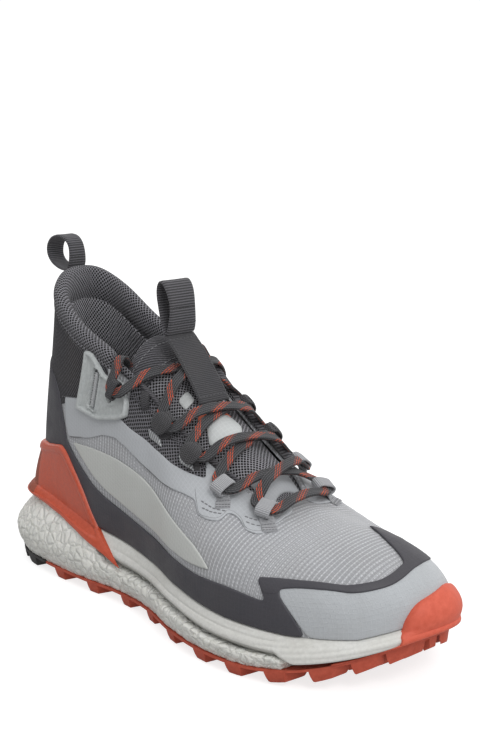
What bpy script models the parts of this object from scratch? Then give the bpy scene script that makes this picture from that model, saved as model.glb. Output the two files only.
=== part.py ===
"""Right-foot mid-height hiking boot, built as an assembly of its real components.
Blender 4.5, metres, +X towards the toe, +Y towards the inside of the foot, +Z up."""
import bpy
import bmesh
import math
import numpy as np
from mathutils import Vector

for ob in list(bpy.data.objects):
    bpy.data.objects.remove(ob, do_unlink=True)
for me in list(bpy.data.meshes):
    bpy.data.meshes.remove(me)

# ---------------------------------------------------------------- driving dimensions, millimetres
MM = 0.001
STATIONS = 26            # stations round the foot: 0 heel, 13 toe, 1-12 outer side, 14-25 inner side
TOE_SPRING = 18.0        # rise of the sole under the toe
TOE_SPRING_FROM = 225.0
HEEL_BEVEL = 6.0
LUG_DEPTH = 4.6
SHEET_TOP = 6.7          # top of the rubber sheet
FOAM_BASE = 7.0          # underside of the midsole
LEDGE_INSET = 12.3       # foam plateau edge, inside the rim
RIM_INSET = 11.6
UPPER_IN, UPPER_OUT = -1.6, 0.0
OVER_IN, OVER_OUT = 0.8, 1.6
STIFF_IN, STIFF_OUT = -3.7, -2.5
LINING_IN, LINING_OUT = -6.2, -4.6
COLLAR_IN, COLLAR_OUT = -6.4, 0.4
COLLAR_FROM = 0.88       # height on the skirt where the padded collar starts
CORNER_T = 4.45          # station where the collar ends and the throat starts
TONGUE_THICK = 4.4
TONGUE_EDGE_V = 0.88
LACE_W, LACE_T = 5.2, 1.6
LACE_LOW = 5.0           # lower lace strand over the tongue's middle surface
LACE_GAP = 3.1           # upper strand over the lower one
LOOP_W = 5.6             # webbing eyelet width
LOOP_IN_W, LOOP_IN_H = 9.4, 3.8
LOOP_T = 1.1
LOOP_BASE = 2.2          # eyelet underside over the upper
STRAP_W, STRAP_T = 25.0, 1.5
HEEL_LOOP_W = 17.0
HEEL_LOOP_PIVOT = (23.6, 0.0, 177.2)
TONGUE_LOOP_PIVOT = (122.0, 0.0, 151.0)
INSOLE_PIVOT_X = 290.0
BOARD_T = 1.4
INSOLE_T = 4.0

# plan outline of the sole, x from the heel, y towards the inside
SOLE = [(-2, 0), (4, -26), (20, -40.5), (48, -44.5), (82, -44.5), (115, -42), (145, -45), (175, -54), (205, -58.5),
        (232, -56), (258, -47), (280, -33), (296, -13), (304, 10), (301, 28), (286, 43), (262, 52), (235, 56),
        (208, 54), (180, 47), (150, 39), (120, 36), (88, 38), (48, 41.5), (20, 37), (4, 24)]
# top line of the upper: x, y, z, tangent angle, lower handle, upper handle, lean
TOP = [(27, 0, 177, 87, .38, .32, -.08), (32, -16, 175, 87, .38, .32, -.04), (44, -28, 166, 87, .38, .32, .02),
       (66, -32, 152, 86, .38, .33, .08), (92, -31, 141, 82, .36, .33, .10), (110, -28, 133, 70, .36, .33, .10),
       (128, -25, 121, 58, .38, .34, .10), (147, -23, 107, 50, .40, .36, .12), (167, -21, 95, 44, .42, .38, .14),
       (186, -18, 85, 38, .42, .40, .14), (199, -13, 78, 30, .42, .42, .14), (206, -8, 75, 22, .40, .40, .14),
       (209, -2, 74, 18, .38, .38, .12), (210, 3, 74, 17, .36, .38, .10),
       (209, 8, 74, 19, .36, .34, .10), (205, 14, 75, 26, .35, .31, .10), (198, 18, 79, 34, .37, .30, .10),
       (185, 21, 86, 44, .40, .32, .10), (166, 22, 96, 50, .40, .34, .08), (146, 23, 108, 56, .40, .34, .06),
       (127, 24, 121, 62, .38, .34, .04), (110, 26, 133, 72, .36, .33, .04), (92, 28, 140, 82, .36, .33, .04),
       (66, 28, 150, 86, .38, .33, .02), (44, 24, 165, 87, .38, .32, .0), (32, 13, 175, 87, .38, .32, -.04)]
FEATHER = ([0, 30, 60, 100, 140, 180, 220, 255, 285, 304], [50, 48, 43, 37, 32.5, 30.5, 27.5, 26, 27, 33])
FEATHER_INSET = ([-2, 20, 50, 90, 150, 250, 290, 304], [20, 16, 11, 7, 5, 4.5, 4.5, 5.5])
BULGE = ([-2, 40, 100, 200, 304], [4.5, 3., 2., 1.6, 1.2])
# height of the foam / rim groove, as a share of the side wall
GROOVE = ([0, 4.0, 4.5, 5.1, 5.85, 7.0, 8.15, 9.0, 9.7, 10.1, 13], [1, 1, .60, .55, .58, .58, .50, .48, .46, .05, .03])
# lacing levels, station and height on the outer side; the inner side mirrors them
LEVELS = [(10.0, .84), (8.6, .84), (7.65, .90), (6.6, .91), (4.95, .86)]

SO = np.array(SOLE, float)
TP = np.array(TOP, float)


def cr(P, t):
    """closed Catmull-Rom through the stations"""
    P = np.asarray(P, float)
    n = len(P)
    t = np.atleast_1d(np.asarray(t, float))
    i = np.floor(t).astype(int)
    f = (t - i)[:, None]
    p0, p1, p2, p3 = P[(i - 1) % n], P[i % n], P[(i + 1) % n], P[(i + 2) % n]
    return .5 * (2 * p1 + (p2 - p0) * f + (2 * p0 - 5 * p1 + 4 * p2 - p3) * f * f + (3 * p1 - p0 - 3 * p2 + p3) * f ** 3)


def plan(t, inset):
    P = cr(SO, t)
    if callable(inset):
        inset = inset(P[:, 0])
    d = cr(SO, np.asarray(t) + .02) - cr(SO, np.asarray(t) - .02)
    d /= np.linalg.norm(d, axis=1)[:, None]
    n = np.stack([d[:, 1], -d[:, 0]], 1)
    return P - n * np.broadcast_to(np.asarray(inset, float), (len(P),))[:, None], n


def zf(x):
    return np.interp(x, *FEATHER)


def zs(x):
    x = np.asarray(x, float)
    a = np.clip((x - TOE_SPRING_FROM) / 79., 0, None) ** 2 * TOE_SPRING
    b = np.clip((30 - x) / 32., 0, None) ** 2 * HEEL_BEVEL
    return a + b


def skirt(t, v):
    """upper: v 0 at the feather line, 1 at the top line"""
    t = np.atleast_1d(np.asarray(t, float))
    v = np.atleast_1d(np.asarray(v, float))
    t, v = np.broadcast_arrays(t, v)
    x0 = cr(SO, t)[:, 0]
    B2, n = plan(t, np.interp(x0, *FEATHER_INSET))
    R = cr(TP, t)
    B = np.column_stack([B2, zf(x0)])
    Tt = R[:, :3]
    phi = np.radians(R[:, 3])
    L = np.linalg.norm(Tt - B, axis=1)
    h = B[:, :2] - Tt[:, :2]
    h = h / np.maximum(np.linalg.norm(h, axis=1)[:, None], 1e-6)
    w = np.clip((R[:, 3] - 60) / 20, 0, 1)[:, None]
    hn = h * (1 - w) + n * w
    hn /= np.linalg.norm(hn, axis=1)[:, None]
    d0 = np.column_stack([n * R[:, 6:7], np.ones(len(t))])
    d0 /= np.linalg.norm(d0, axis=1)[:, None]
    d1 = np.column_stack([hn * np.cos(phi)[:, None], -np.sin(phi)])
    P1 = B + d0 * (L * R[:, 4])[:, None]
    P2 = Tt + d1 * (L * R[:, 5])[:, None]
    v = v[:, None]
    return B * (1 - v) ** 3 + 3 * P1 * v * (1 - v) ** 2 + 3 * P2 * v * v * (1 - v) + Tt * v ** 3


def wall(t, w):
    """midsole side: w 0 at the rubber, 1 at the feather line"""
    t = np.atleast_1d(np.asarray(t, float))
    w = np.atleast_1d(np.asarray(w, float))
    t, w = np.broadcast_arrays(t, w)
    x0 = cr(SO, t)[:, 0]
    top = np.interp(x0, *FEATHER_INSET)
    heel = np.clip(1 - x0 / 60, 0, 1)
    bul = np.interp(x0, *BULGE)
    low = 1.5 - (1.5 + bul) * np.sin(np.pi / 2 * np.clip(w, 0, .35) / .35)
    ww = np.clip((w - .35) / .65, 0, 1)
    up = -bul + (top + bul) * (ww ** 1.5 * (1 - heel) + heel * ww ** 1.25)
    Q, n = plan(t, np.where(w < .35, low, up))
    z0 = FOAM_BASE + zs(x0)
    return np.column_stack([Q, z0 + (zf(x0) - z0) * w])


def side(t, u):
    """whole side of the boot: u -1..0 is the midsole wall, 0..1 the upper"""
    t, u = np.broadcast_arrays(np.atleast_1d(np.asarray(t, float)), np.atleast_1d(np.asarray(u, float)))
    a = wall(t, 1 + np.minimum(u, 0))
    b = skirt(t, np.maximum(u, 0))
    return np.where((u < 0)[:, None], a, b)


def off(t, u, d, f=side):
    """point on the side, moved d along the outward normal"""
    t, u = np.broadcast_arrays(np.atleast_1d(np.asarray(t, float)), np.atleast_1d(np.asarray(u, float)))
    e = .03
    hi, lo = (np.minimum(u + e, 1), np.maximum(u - e, 0 if f is skirt else -1))
    du = f(t, hi) - f(t, lo)
    dt = f(t + e, u) - f(t - e, u)
    n = np.cross(dt, du)
    n /= np.maximum(np.linalg.norm(n, axis=1)[:, None], 1e-9)
    return f(t, u) + n * np.broadcast_to(np.asarray(d, float), (len(t),))[:, None]


# ---------------------------------------------------------------- mesh builders
PARTS = {}


def keep(name, V, F, colour, rough=.6, pivot=None):
    PARTS[name] = (np.asarray(V, float), [tuple(f) for f in F], colour, rough, pivot)


def slab(name, A, B, colour, wrap=False, rough=.6, pivot=None):
    """closed sheet between outer grid A and inner grid B"""
    A, B = np.asarray(A, float), np.asarray(B, float)
    n, m = A.shape[:2]
    V = np.concatenate([A.reshape(-1, 3), B.reshape(-1, 3)])
    o = n * m
    F = []
    I = range(n if wrap else n - 1)
    for i in I:
        k = (i + 1) % n
        for j in range(m - 1):
            a, b, c, d = i * m + j, k * m + j, k * m + j + 1, i * m + j + 1
            F.append((a, b, c, d))
            F.append((o + d, o + c, o + b, o + a))
        F.append((i * m, o + i * m, o + k * m, k * m))
        F.append((k * m + m - 1, o + k * m + m - 1, o + i * m + m - 1, i * m + m - 1))
    if not wrap:
        for j in range(m - 1):
            F.append((j, j + 1, o + j + 1, o + j))
            q = (n - 1) * m
            F.append((q + j + 1, q + j, o + q + j, o + q + j + 1))
    keep(name, V, F, colour, rough, pivot)


def grid(ts, lo, hi, rows, d, f=side):
    """grid of points: columns at ts, rows between the lo and hi heights"""
    ts = np.asarray(ts, float)
    G = []
    for k, t in enumerate(ts):
        u = lo[k] + (hi[k] - lo[k]) * np.asarray(rows)
        dd = d[k] if np.ndim(d) else d
        G.append(off(np.full(len(u), t), u, dd, f))
    return np.array(G)


def columns(t0, t1, step=.5):
    k = np.arange(math.ceil(t0 / step + 1e-6), math.floor(t1 / step - 1e-6) + 1) * step
    return np.array([t0] + [x for x in k if x - t0 > .12 and t1 - x > .12] + [t1])


def patch(name, t0, t1, lo, hi, colour, d0=OVER_IN, d1=OVER_OUT, rows=4, step=.5, rough=.6, mirror=False, f=skirt):
    """panel lying on the upper between two edge curves given as (station, height) points"""
    ts = columns(t0, t1, step)
    L = np.interp(ts, [p[0] for p in lo], [p[1] for p in lo])
    H = np.interp(ts, [p[0] for p in hi], [p[1] for p in hi])
    if mirror:
        ts, L, H = (26 - ts)[::-1], L[::-1], H[::-1]
    r = np.linspace(0, 1, rows)
    slab(name, grid(ts, L, H, r, d1, f), grid(ts, L, H, r, d0, f), colour, False, rough)


def sweep(name, P, W, T, w, th, colour, closed=False, rough=.6, pivot=None, flat=True):
    """strip with a rectangular section: P path, W width directions, T thickness directions"""
    P, W, T = (np.asarray(q, float) for q in (P, W, T))
    n = len(P)
    w = np.broadcast_to(np.asarray(w, float), (n,))[:, None] / 2
    th = np.broadcast_to(np.asarray(th, float), (n,))[:, None] / 2
    if flat:
        ring = [P - W * w - T * th, P + W * w - T * th, P + W * w + T * th, P - W * w + T * th]
    else:
        ring = [P - W * w, P - W * w * .6 - T * th, P + W * w * .6 - T * th, P + W * w, P + W * w * .6 + T * th, P - W * w * .6 + T * th]
    k = len(ring)
    V = np.stack(ring, 1).reshape(-1, 3)
    F = []
    for i in range(n if closed else n - 1):
        j = (i + 1) % n
        for q in range(k):
            r = (q + 1) % k
            F.append((i * k + q, i * k + r, j * k + r, j * k + q))
    if not closed:
        F.append(tuple(range(k))[::-1])
        F.append(tuple((n - 1) * k + q for q in range(k)))
    keep(name, V, F, colour, rough, pivot)


def unit(v):
    v = np.asarray(v, float)
    return v / np.maximum(np.linalg.norm(v, axis=-1, keepdims=True), 1e-9)


# ---------------------------------------------------------------- outsole
def sole_rows(rows, cols, inset, first_arc, last_arc, chevron=0.):
    """plan grid across the foot: rows of stations, columns from the outer to the inner side"""
    G = []
    s = np.asarray(cols, float)
    for k, i in enumerate(rows):
        if k == 0 and first_arc:
            p = plan(-i * s, inset)[0]
        elif k == len(rows) - 1 and last_arc:
            p = plan(13 + (13 - i) * s, inset)[0]
        else:
            a = plan([i], inset)[0][0]
            b = plan([26 - i], inset)[0][0]
            f = ((s + 1) / 2)[:, None]
            p = a * (1 - f) + b * f
            p[:, 0] += chevron * (1 - s ** 2) * min(1., max(0., (11.6 - i) / 2.), ) * min(1., max(0., (i - .9) / 1.5))
        G.append(p)
    return np.array(G)


def outsole(name, rows, lug_rows, first_arc, last_arc, colour):
    cols = np.array([-1, -.66, -.54, -.12, .12, .54, .66, 1])
    lug_cols = (0, 2, 4, 6)
    G = sole_rows(rows, cols, 1.2, first_arc, last_arc, 5.)
    n, m = G.shape[:2]
    z = zs(G[..., 0])
    top = np.dstack([G, z + SHEET_TOP])
    bot = np.dstack([G, z + LUG_DEPTH])
    V = list(np.concatenate([top.reshape(-1, 3), bot.reshape(-1, 3)]))
    o = n * m
    F = []
    for i in range(n - 1):
        for j in range(m - 1):
            a, b, c, d = i * m + j, (i + 1) * m + j, (i + 1) * m + j + 1, i * m + j + 1
            F.append((a, b, c, d))
            if i in lug_rows and j in lug_cols:
                q = [o + d, o + c, o + b, o + a]
                P = np.array([V[x] for x in q])
                ctr = P.mean(0)
                base = len(V)
                for p in P:
                    s = ctr + (p - ctr) * .84
                    V.append(np.array([s[0], s[1], float(zs(s[0]))]))
                for e in range(4):
                    g = (e + 1) % 4
                    F.append((q[e], q[g], base + g, base + e))
                F.append((base, base + 1, base + 2, base + 3))
            else:
                F.append((o + d, o + c, o + b, o + a))
    for i in range(n - 1):
        F.append((i * m, o + i * m, o + (i + 1) * m, (i + 1) * m))
        F.append(((i + 1) * m + m - 1, o + (i + 1) * m + m - 1, o + i * m + m - 1, i * m + m - 1))
    for j in range(m - 1):
        F.append((j, j + 1, o + j + 1, o + j))
        q = (n - 1) * m
        F.append((q + j + 1, q + j, o + q + j, o + q + j + 1))
    keep(name, V, F, colour, .75)


ORANGE = (.76, .13, .06)
DARK = (.06, .06, .07)
GREY = (.40, .41, .43)
LIGHT = (.58, .60, .60)
WHITE = (.78, .78, .74)

heel_rows = [.9, 1.35, 1.6, 2.05, 2.3, 2.75, 2.93]
outsole("outsole_heel", heel_rows, (0, 2, 4), True, False, DARK)
front_rows, lug_rows = [3.0], []
i = 3.12
while i < 12.1:
    front_rows.append(i)
    lug_rows.append(len(front_rows) - 1)
    front_rows.append(i + .50)
    i += .70
front_rows.append(12.45)
outsole("outsole_forefoot", front_rows, lug_rows, False, True, ORANGE)

# ---------------------------------------------------------------- midsole
TS = np.arange(0, 26, .5)
M = len(TS)


def fold(t):
    return np.minimum(t, 26 - t)


def ring_solid(name, rings, colour, rough):
    n = len(rings)
    V = np.concatenate(rings)
    F = []
    for r in range(n - 1):
        for k in range(M):
            j = (k + 1) % M
            F.append((r * M + k, r * M + j, (r + 1) * M + j, (r + 1) * M + k))
    for k in range(M // 2):
        q = [k, k + 1, M - k - 1, (M - k) % M]
        q = list(dict.fromkeys(q))
        F.append(tuple(q[::-1]))
        F.append(tuple((n - 1) * M + x for x in q))
    keep(name, V, F, colour, rough)


wg = np.interp(fold(TS), *GROOVE)
x0 = cr(SO, TS)[:, 0]
q = np.clip(wg / .35, 0, 1)
rings = []
for f in (0., .35, .75, 1.):
    P = wall(TS, wg * f)
    inner = plan(TS, LEDGE_INSET - .2)[0]
    P[:, :2] = P[:, :2] * q[:, None] + inner * (1 - q)[:, None]
    rings.append(P)
led = np.maximum(LEDGE_INSET, np.interp(x0, *FEATHER_INSET) + 2)
Q = plan(TS, led)[0]
z0 = FOAM_BASE + zs(x0)
rings.append(np.column_stack([Q, z0 + (zf(x0) - z0) * wg + .05]))
rings.append(np.column_stack([plan(TS, led + .6)[0], zf(x0) + .1]))
ring_solid("midsole_foam", rings, WHITE, .8)

ts = columns(4.5, 21.5)
g = np.interp(fold(ts), *GROOVE)
A = np.array([wall(np.full(4, t), (g[k] + .035) + (1 - g[k] - .035) * np.array([0, .33, .66, 1.])) for k, t in enumerate(ts)])
xx = cr(SO, ts)[:, 0]
Bq = plan(ts, RIM_INSET)[0]
B = A.copy()
B[..., 0] = Bq[:, None, 0]
B[..., 1] = Bq[:, None, 1]
slab("midsole_rim", A, B, LIGHT, False, .7)


def plate(name, inset, zlow, thick, colour, rows=None, pivot=None, rough=.8, x_in=0.):
    rows = rows or [1.4, 2, 3, 4, 5, 6, 7, 8, 9, 10, 11, 12, 12.4]
    G = sole_rows(rows, np.linspace(-1, 1, 5), inset, True, True)
    z = zf(G[..., 0]) + zlow + 4.6 * np.clip((G[..., 0] - 268) / 25, 0, 1)
    slab(name, np.dstack([G, z + thick]), np.dstack([G, z]), colour, False, rough, pivot)


plate("strobel_board", lambda x: np.interp(x, *FEATHER_INSET) + 4.0, 1.5, BOARD_T, (.70, .68, .60))
plate("insole", lambda x: np.interp(x, *FEATHER_INSET) + 7.5, 1.5 + BOARD_T + .9, INSOLE_T, (.10, .10, .11), pivot="insole")

# ---------------------------------------------------------------- upper, lining, stiffeners
TU = np.arange(0, 26, .5)


def vtop(t, low, high):
    f = fold(np.asarray(t, float))
    return np.interp(f, [0, CORNER_T, CORNER_T + .35, 13], [low, low, high, high])


H = vtop(TU, COLLAR_FROM - .015, .995)
r = np.linspace(0, 1, 8)
lo = np.full(len(TU), .02)
slab("upper_shell", grid(TU, lo, H, r, UPPER_OUT, skirt), grid(TU, lo, H, r, UPPER_IN, skirt), GREY, True, .85)
H = vtop(TU, COLLAR_FROM - .02, .79)
r = np.linspace(0, 1, 5)
lo = np.interp(fold(TU), [0, 9.5, 10.5, 13], [.12, .12, .17, .19])
slab("lining", grid(TU, lo, H, r, LINING_OUT, skirt), grid(TU, lo, H, r, LINING_IN, skirt), (.05, .05, .055), True, .95)
ts = np.concatenate([-columns(0, 3.6)[::-1][:-1], columns(0, 3.6)])
hi = np.interp(np.abs(ts), [0, 2.2, 3.6], [.50, .48, .20])
slab("heel_counter", grid(ts, np.full(len(ts), .08), hi, np.linspace(0, 1, 4), STIFF_OUT, skirt),
     grid(ts, np.full(len(ts), .08), hi, np.linspace(0, 1, 4), STIFF_IN, skirt), (.5, .5, .48), False, .7)
patch("toe_puff", 10.6, 15.4, [(10.6, .10), (15.4, .10)], [(10.6, .16), (12, .28), (14, .28), (15.4, .16)], (.5, .5, .48), STIFF_IN, STIFF_OUT)
ts = np.concatenate([-columns(0, CORNER_T - .1)[::-1][:-1], columns(0, CORNER_T - .1)])
lo = np.full(len(ts), COLLAR_FROM)
hi = np.full(len(ts), 1.)
A = grid(ts, lo, hi, np.linspace(0, 1, 4), COLLAR_OUT, skirt)
B = grid(ts, lo, hi, np.linspace(0, 1, 4), COLLAR_IN, skirt)
mid = (A[:, -1] + B[:, -1]) / 2 + np.array([0, 0, 2.6])
A = np.concatenate([A, mid[:, None]], 1)
B = np.concatenate([B, (mid + np.array([0, 0, -.02]))[:, None]], 1)
A[:, -1] = mid + (A[:, -2] - B[:, -2]) * .16
B[:, -1] = mid - (A[:, -2] - B[:, -2]) * .16
slab("collar", A, B, (.07, .07, .075), False, .95)

# ---------------------------------------------------------------- overlays
FILM = (.075, .075, .085)
band_hi = [(2.2, .60), (2.95, .50), (3.3, .36), (3.8, .29), (4.5, .21), (5.3, .17), (6.5, .16), (7.7, .16), (8.75, .19), (9.55, .17)]
cl_hi = [(0, .34), (2.6, .345), (3.12, .33), (3.5, .24), (4.35, .03), (5.1, -.44)]
patch("mudguard_outer", 4.62, 9.5, [(4.6, .03), (9.5, .03)], band_hi, FILM, rows=3)
patch("mudguard_inner", 4.62, 9.5, [(4.6, .03), (9.5, .03)], band_hi, FILM, rows=3, mirror=True)
# heel shield sits above the clip
ts = np.concatenate([-columns(0, 3.1)[::-1][:-1], columns(0, 3.1)])
lo = np.interp(np.abs(ts), [0, 3.1], [.385, .385])
hi = np.interp(np.abs(ts), [0, 2.2, 2.95, 3.1], [.62, .60, .50, .45])
slab("heel_shield", grid(ts, lo, hi, [0, .5, 1], OVER_OUT, skirt), grid(ts, lo, hi, [0, .5, 1], OVER_IN, skirt), FILM, False, .6)
patch("toe_cap", 9.9, 16.0, [(9.9, .05), (11.9, .05), (12.15, .17), (15.35, .17), (15.6, .06), (16.0, .06)],
      [(9.9, .26), (10.8, .275), (11.6, .235), (12.1, .235), (13, .29), (14.25, .29), (16.0, .25)], (.41, .43, .45), rows=3)
patch("toe_trim", 9.5, 16.6, [(9.5, .285), (10.8, .30), (11.6, .26), (12.1, .26), (13, .32), (14.25, .32), (16.6, .25)],
      [(9.5, .32), (10.55, .345), (11.6, .31), (12.0, .30), (12.85, .36), (14.2, .60), (15.2, .50), (16.6, .28)], FILM, rows=3)
side_hi = [(3.5, .40), (4.4, .44), (5.35, .47), (6.65, .44), (7.9, .35)]
side_lo = [(3.5, .35), (3.9, .30), (4.6, .23), (5.4, .19), (6.5, .18), (7.9, .19)]
eye_hi = [(3.2, .60), (3.7, .66), (4.2, .66), (4.9, .71), (5.35, .69), (6.15, .69), (6.9, .71), (7.4, .73), (8.0, .74), (9.3, .74), (10.4, .76)]
eye_lo = [(3.2, .42), (3.9, .47), (4.85, .58), (5.7, .53), (6.9, .56), (7.75, .60), (9.3, .62), (10.4, .70)]
mesh_hi = [(5.4, .97), (12, .97)]
mesh_lo = [(5.4, .73), (6.15, .71), (6.9, .74), (7.4, .76), (8.0, .78), (9.3, .78), (10.6, .80)]
for sfx, mir in (("outer", False), ("inner", True)):
    patch("side_panel_" + sfx, 3.5, 7.9, side_lo, side_hi, (.50, .52, .49), rows=4, mirror=mir)
    patch("eyestay_film_" + sfx, 3.2, 10.4, eye_lo, eye_hi, (.43, .44, .46), rows=3, mirror=mir)
    patch("eyestay_mesh_" + sfx, 5.42, 10.6, mesh_lo, mesh_hi, (.07, .07, .075), rows=3, mirror=mir, rough=.9)
    patch("reflective_tab_" + sfx, 6.0, 6.35, [(6.0, .735), (6.35, .735)], [(6.0, .80), (6.35, .80)], (.75, .75, .74), 2.0, 2.6, rows=2, mirror=mir, rough=.3)
    patch("lace_plate_" + sfx, 3.5, 5.2, [(3.5, .69), (4.2, .69), (5.2, .755)], [(3.5, .865), (4.2, .865), (5.2, .93)], (.40, .42, .42), OVER_IN, 3.4, rows=4, mirror=mir, rough=.5)

# moulded heel clip, round the back of the sole
ts = np.concatenate([-columns(0, 5.0)[::-1][:-1], columns(0, 5.0)])
a = np.abs(ts)
lo = np.interp(a, [0, 1.6, 2.35, 2.75, 3.65, 4.35, 5.0], [-.20, -.20, -.19, -.19, -.25, -.32, -.44])
hi = np.interp(a, [0, 2.4, 2.95, 3.12, 3.5, 4.35, 5.0], [.33, .33, .335, .32, .23, .005, -.38])
out = np.interp(a, [0, 3.0, 5.0], [3.2, 3.2, 2.2])
rr = np.linspace(0, 1, 6)


def clip_grid(d):
    return np.array([off(np.full(6, ts[k]), lo[k] + (hi[k] - lo[k]) * rr, d[k]) for k in range(len(ts))])


slab("heel_clip", clip_grid(out), clip_grid(np.full(len(ts), 1.2)), ORANGE, False, .45)

# toe bumper, rubber wrapped up over the toe from the outsole
ts = columns(12.1, 15.3, .25)
lo = np.interp(ts, [12.1, 15.3], [-.96, -.96])
hi = np.interp(ts, [12.1, 12.4, 13.05, 14.2, 15.3], [.07, .11, .14, .14, .03])
rr = np.linspace(0, 1, 6)
slab("toe_bumper", np.array([off(np.full(6, t), lo[k] + (hi[k] - lo[k]) * rr, 2.8) for k, t in enumerate(ts)]),
     np.array([off(np.full(6, t), lo[k] + (hi[k] - lo[k]) * rr, .9) for k, t in enumerate(ts)]), ORANGE, False, .7)


# ---------------------------------------------------------------- tongue
def tongue(t, a, d=0., crown=False):
    """middle surface of the tongue: t station 4.9..11.6, a -1 outer edge .. 1 inner edge"""
    t = float(t)
    deep = np.interp(t, [7.5, 8.6, 10.], [-5.2, -7.2, -8.2])
    El = off([t], [TONGUE_EDGE_V], deep, skirt)[0]
    Em = off([26 - t], [TONGUE_EDGE_V], deep, skirt)[0]

    def rim(q):
        return (skirt([q], [1.])[0] + skirt([26 - q], [1.])[0]) / 2
    tan = unit(rim(t + .15) - rim(t - .15))
    N = unit(np.array([-tan[2], 0, tan[0]]))
    h = np.interp(t, [4.9, 6, 7.8, 9.0, 10.0, 10.9], [7.5, 5.5, 4.6, 2.8, -1.0, -5.0])
    if crown:
        h = np.interp(t, [4.9, 6, 9, 11], [7.5, 5.5, 4.6, 4.])
    Mid = rim(t) + N * h
    Mid[1] = (El[1] + Em[1]) / 2

    def at(a):
        return El * a * (a - 1) / 2 + Mid * (1 - a * a) + Em * a * (a + 1) / 2
    P = at(a)
    cross = unit(at(a + .02) - at(a - .02))
    n = unit(np.cross(tan, cross))
    if n @ N < 0:
        n = -n
    return P + n * d, n


tt = np.array([4.9, 5.3, 5.75, 6.2, 6.7, 7.2, 7.7, 8.2, 8.7, 9.2, 9.7, 10.2, 10.6, 10.9])
aa = np.linspace(-1, 1, 9)
def half(a):
    return TONGUE_THICK / 2 * (1 - .62 * abs(a) ** 3)


def top_edge(d):
    """free top of the tongue, above the last row"""
    up = unit(tongue(4.9, 0)[0] - tongue(5.2, 0)[0])
    return [tongue(4.9, a, d * half(a))[0] + up * 10.0 * (1 - .93 * abs(a) ** 2.2) for a in aa]


A = np.array([top_edge(.8)] + [[tongue(t, a, half(a))[0] for a in aa] for t in tt])
B = np.array([top_edge(-.8)] + [[tongue(t, a, -half(a))[0] for a in aa] for t in tt])
slab("tongue", A, B, (.08, .08, .085), False, .95)
for nm, t0, t1, aw in (("tongue_shield", 7.25, 8.15, .42), ("throat_film", 9.35, 10.1, .40)):
    tp = np.linspace(t0, t1, 5)
    ap = np.linspace(-aw, aw, 5)
    slab(nm, np.array([[tongue(t, a, 3.5, True)[0] for a in ap] for t in tp]),
         np.array([[tongue(t, a, 2.7, True)[0] for a in ap] for t in tp]), (.50, .52, .53), False, .5)

# webbing strap down the tongue, over the laces
P = np.array([(123.2, 0, 148.3), (128.2, 0, 144.2), (133.6, 0, 138.6), (139.6, 0, 131.6), (145.4, 0, 124.6), (150.6, 0, 117.6)], float)
d = unit(np.gradient(P, axis=0))
W = np.tile([0, 1., 0], (len(P), 1))
sweep("tongue_strap", P, W, unit(np.cross(d, W)), STRAP_W, STRAP_T, DARK)


def pull_loop(name, pivot, height, lean, gap, width, colour, th=1.8, n=12):
    """closed loop of webbing standing on its sewn base; lean is the tilt from vertical towards +X"""
    p = np.array(pivot)
    upv = np.array([math.sin(lean), 0, math.cos(lean)])
    fw = np.array([math.cos(lean), 0, -math.sin(lean)])
    P, T = [], []
    for k in range(n):
        a = 2 * math.pi * k / n
        e = .85
        cx = math.copysign(abs(math.cos(a)) ** e, math.cos(a))
        cy = math.copysign(abs(math.sin(a)) ** e, math.sin(a))
        P.append(p + fw * (gap / 2 * cx) + upv * (height / 2 * (1 + cy)))
    P = np.array(P)
    d = unit(np.roll(P, -1, 0) - np.roll(P, 1, 0))
    Wd = np.tile([0, 1., 0], (n, 1))
    T = unit(np.cross(d, Wd))
    sweep(name, P, Wd, T, width, th, colour, closed=True, pivot=pivot)


pull_loop("heel_pull_loop", HEEL_LOOP_PIVOT, 19.0, math.radians(-32), 10.0, HEEL_LOOP_W, DARK)
pull_loop("tongue_pull_loop", TONGUE_LOOP_PIVOT, 28.5, math.radians(-9), 10.0, 24.0, DARK)


# ---------------------------------------------------------------- eyelets and lace
def eyelet_frame(t, v, base, inner):
    tq = 26 - t if inner else t
    p = off([tq], [v], 0, skirt)[0]
    n = unit(off([tq], [v], 1., skirt)[0] - p)
    e = .15
    d = unit(skirt([tq + e], [v])[0] - skirt([tq - e], [v])[0])
    if inner:
        d = -d
    d = unit(d - n * (d @ n))
    w = unit(np.cross(n, d))
    if inner:
        w = -w                     # towards the middle of the throat
    return p, n, d, w


def eyelet(name, t, v, base, inner, colour):
    p, n, d, w = eyelet_frame(t, v, base, inner)
    c = p + n * (base + LOOP_T / 2 + LOOP_IN_H / 2 + LOOP_T / 2)
    a, b = (LOOP_IN_W + LOOP_T) / 2, (LOOP_IN_H + LOOP_T) / 2
    ring = [(-a, -b * .55), (-a * .75, -b), (a * .75, -b), (a, -b * .55), (a, b * .55), (a * .75, b), (-a * .75, b), (-a, b * .55)]
    P = np.array([c + w * x + n * y for x, y in ring])
    q = unit(np.roll(P, -1, 0) - np.roll(P, 1, 0))
    Wd = np.tile(d, (len(P), 1))
    T = unit(np.cross(q, Wd))
    sweep(name, P, Wd, T, LOOP_W, LOOP_T, colour, closed=True)
    return c, n, d, w


centres = {}
for k, (t, v) in enumerate(LEVELS):
    for inner in (False, True):
        sfx = "inner" if inner else "outer"
        base = 4.0 if k == 4 else LOOP_BASE
        nm = ("webbing_eyelet_%s_%d" % (sfx, k + 1)) if k < 2 else ("cord_eyelet_%s_%d" % (sfx, k - 1) if k < 4 else "plate_keeper_" + sfx)
        centres[(k, inner)] = eyelet(nm, t, v, base, inner, (.30, .31, .33) if k < 2 else DARK)

path, norm = [], []


def add(p, n):
    path.append(np.asarray(p, float))
    norm.append(unit(n))


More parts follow.
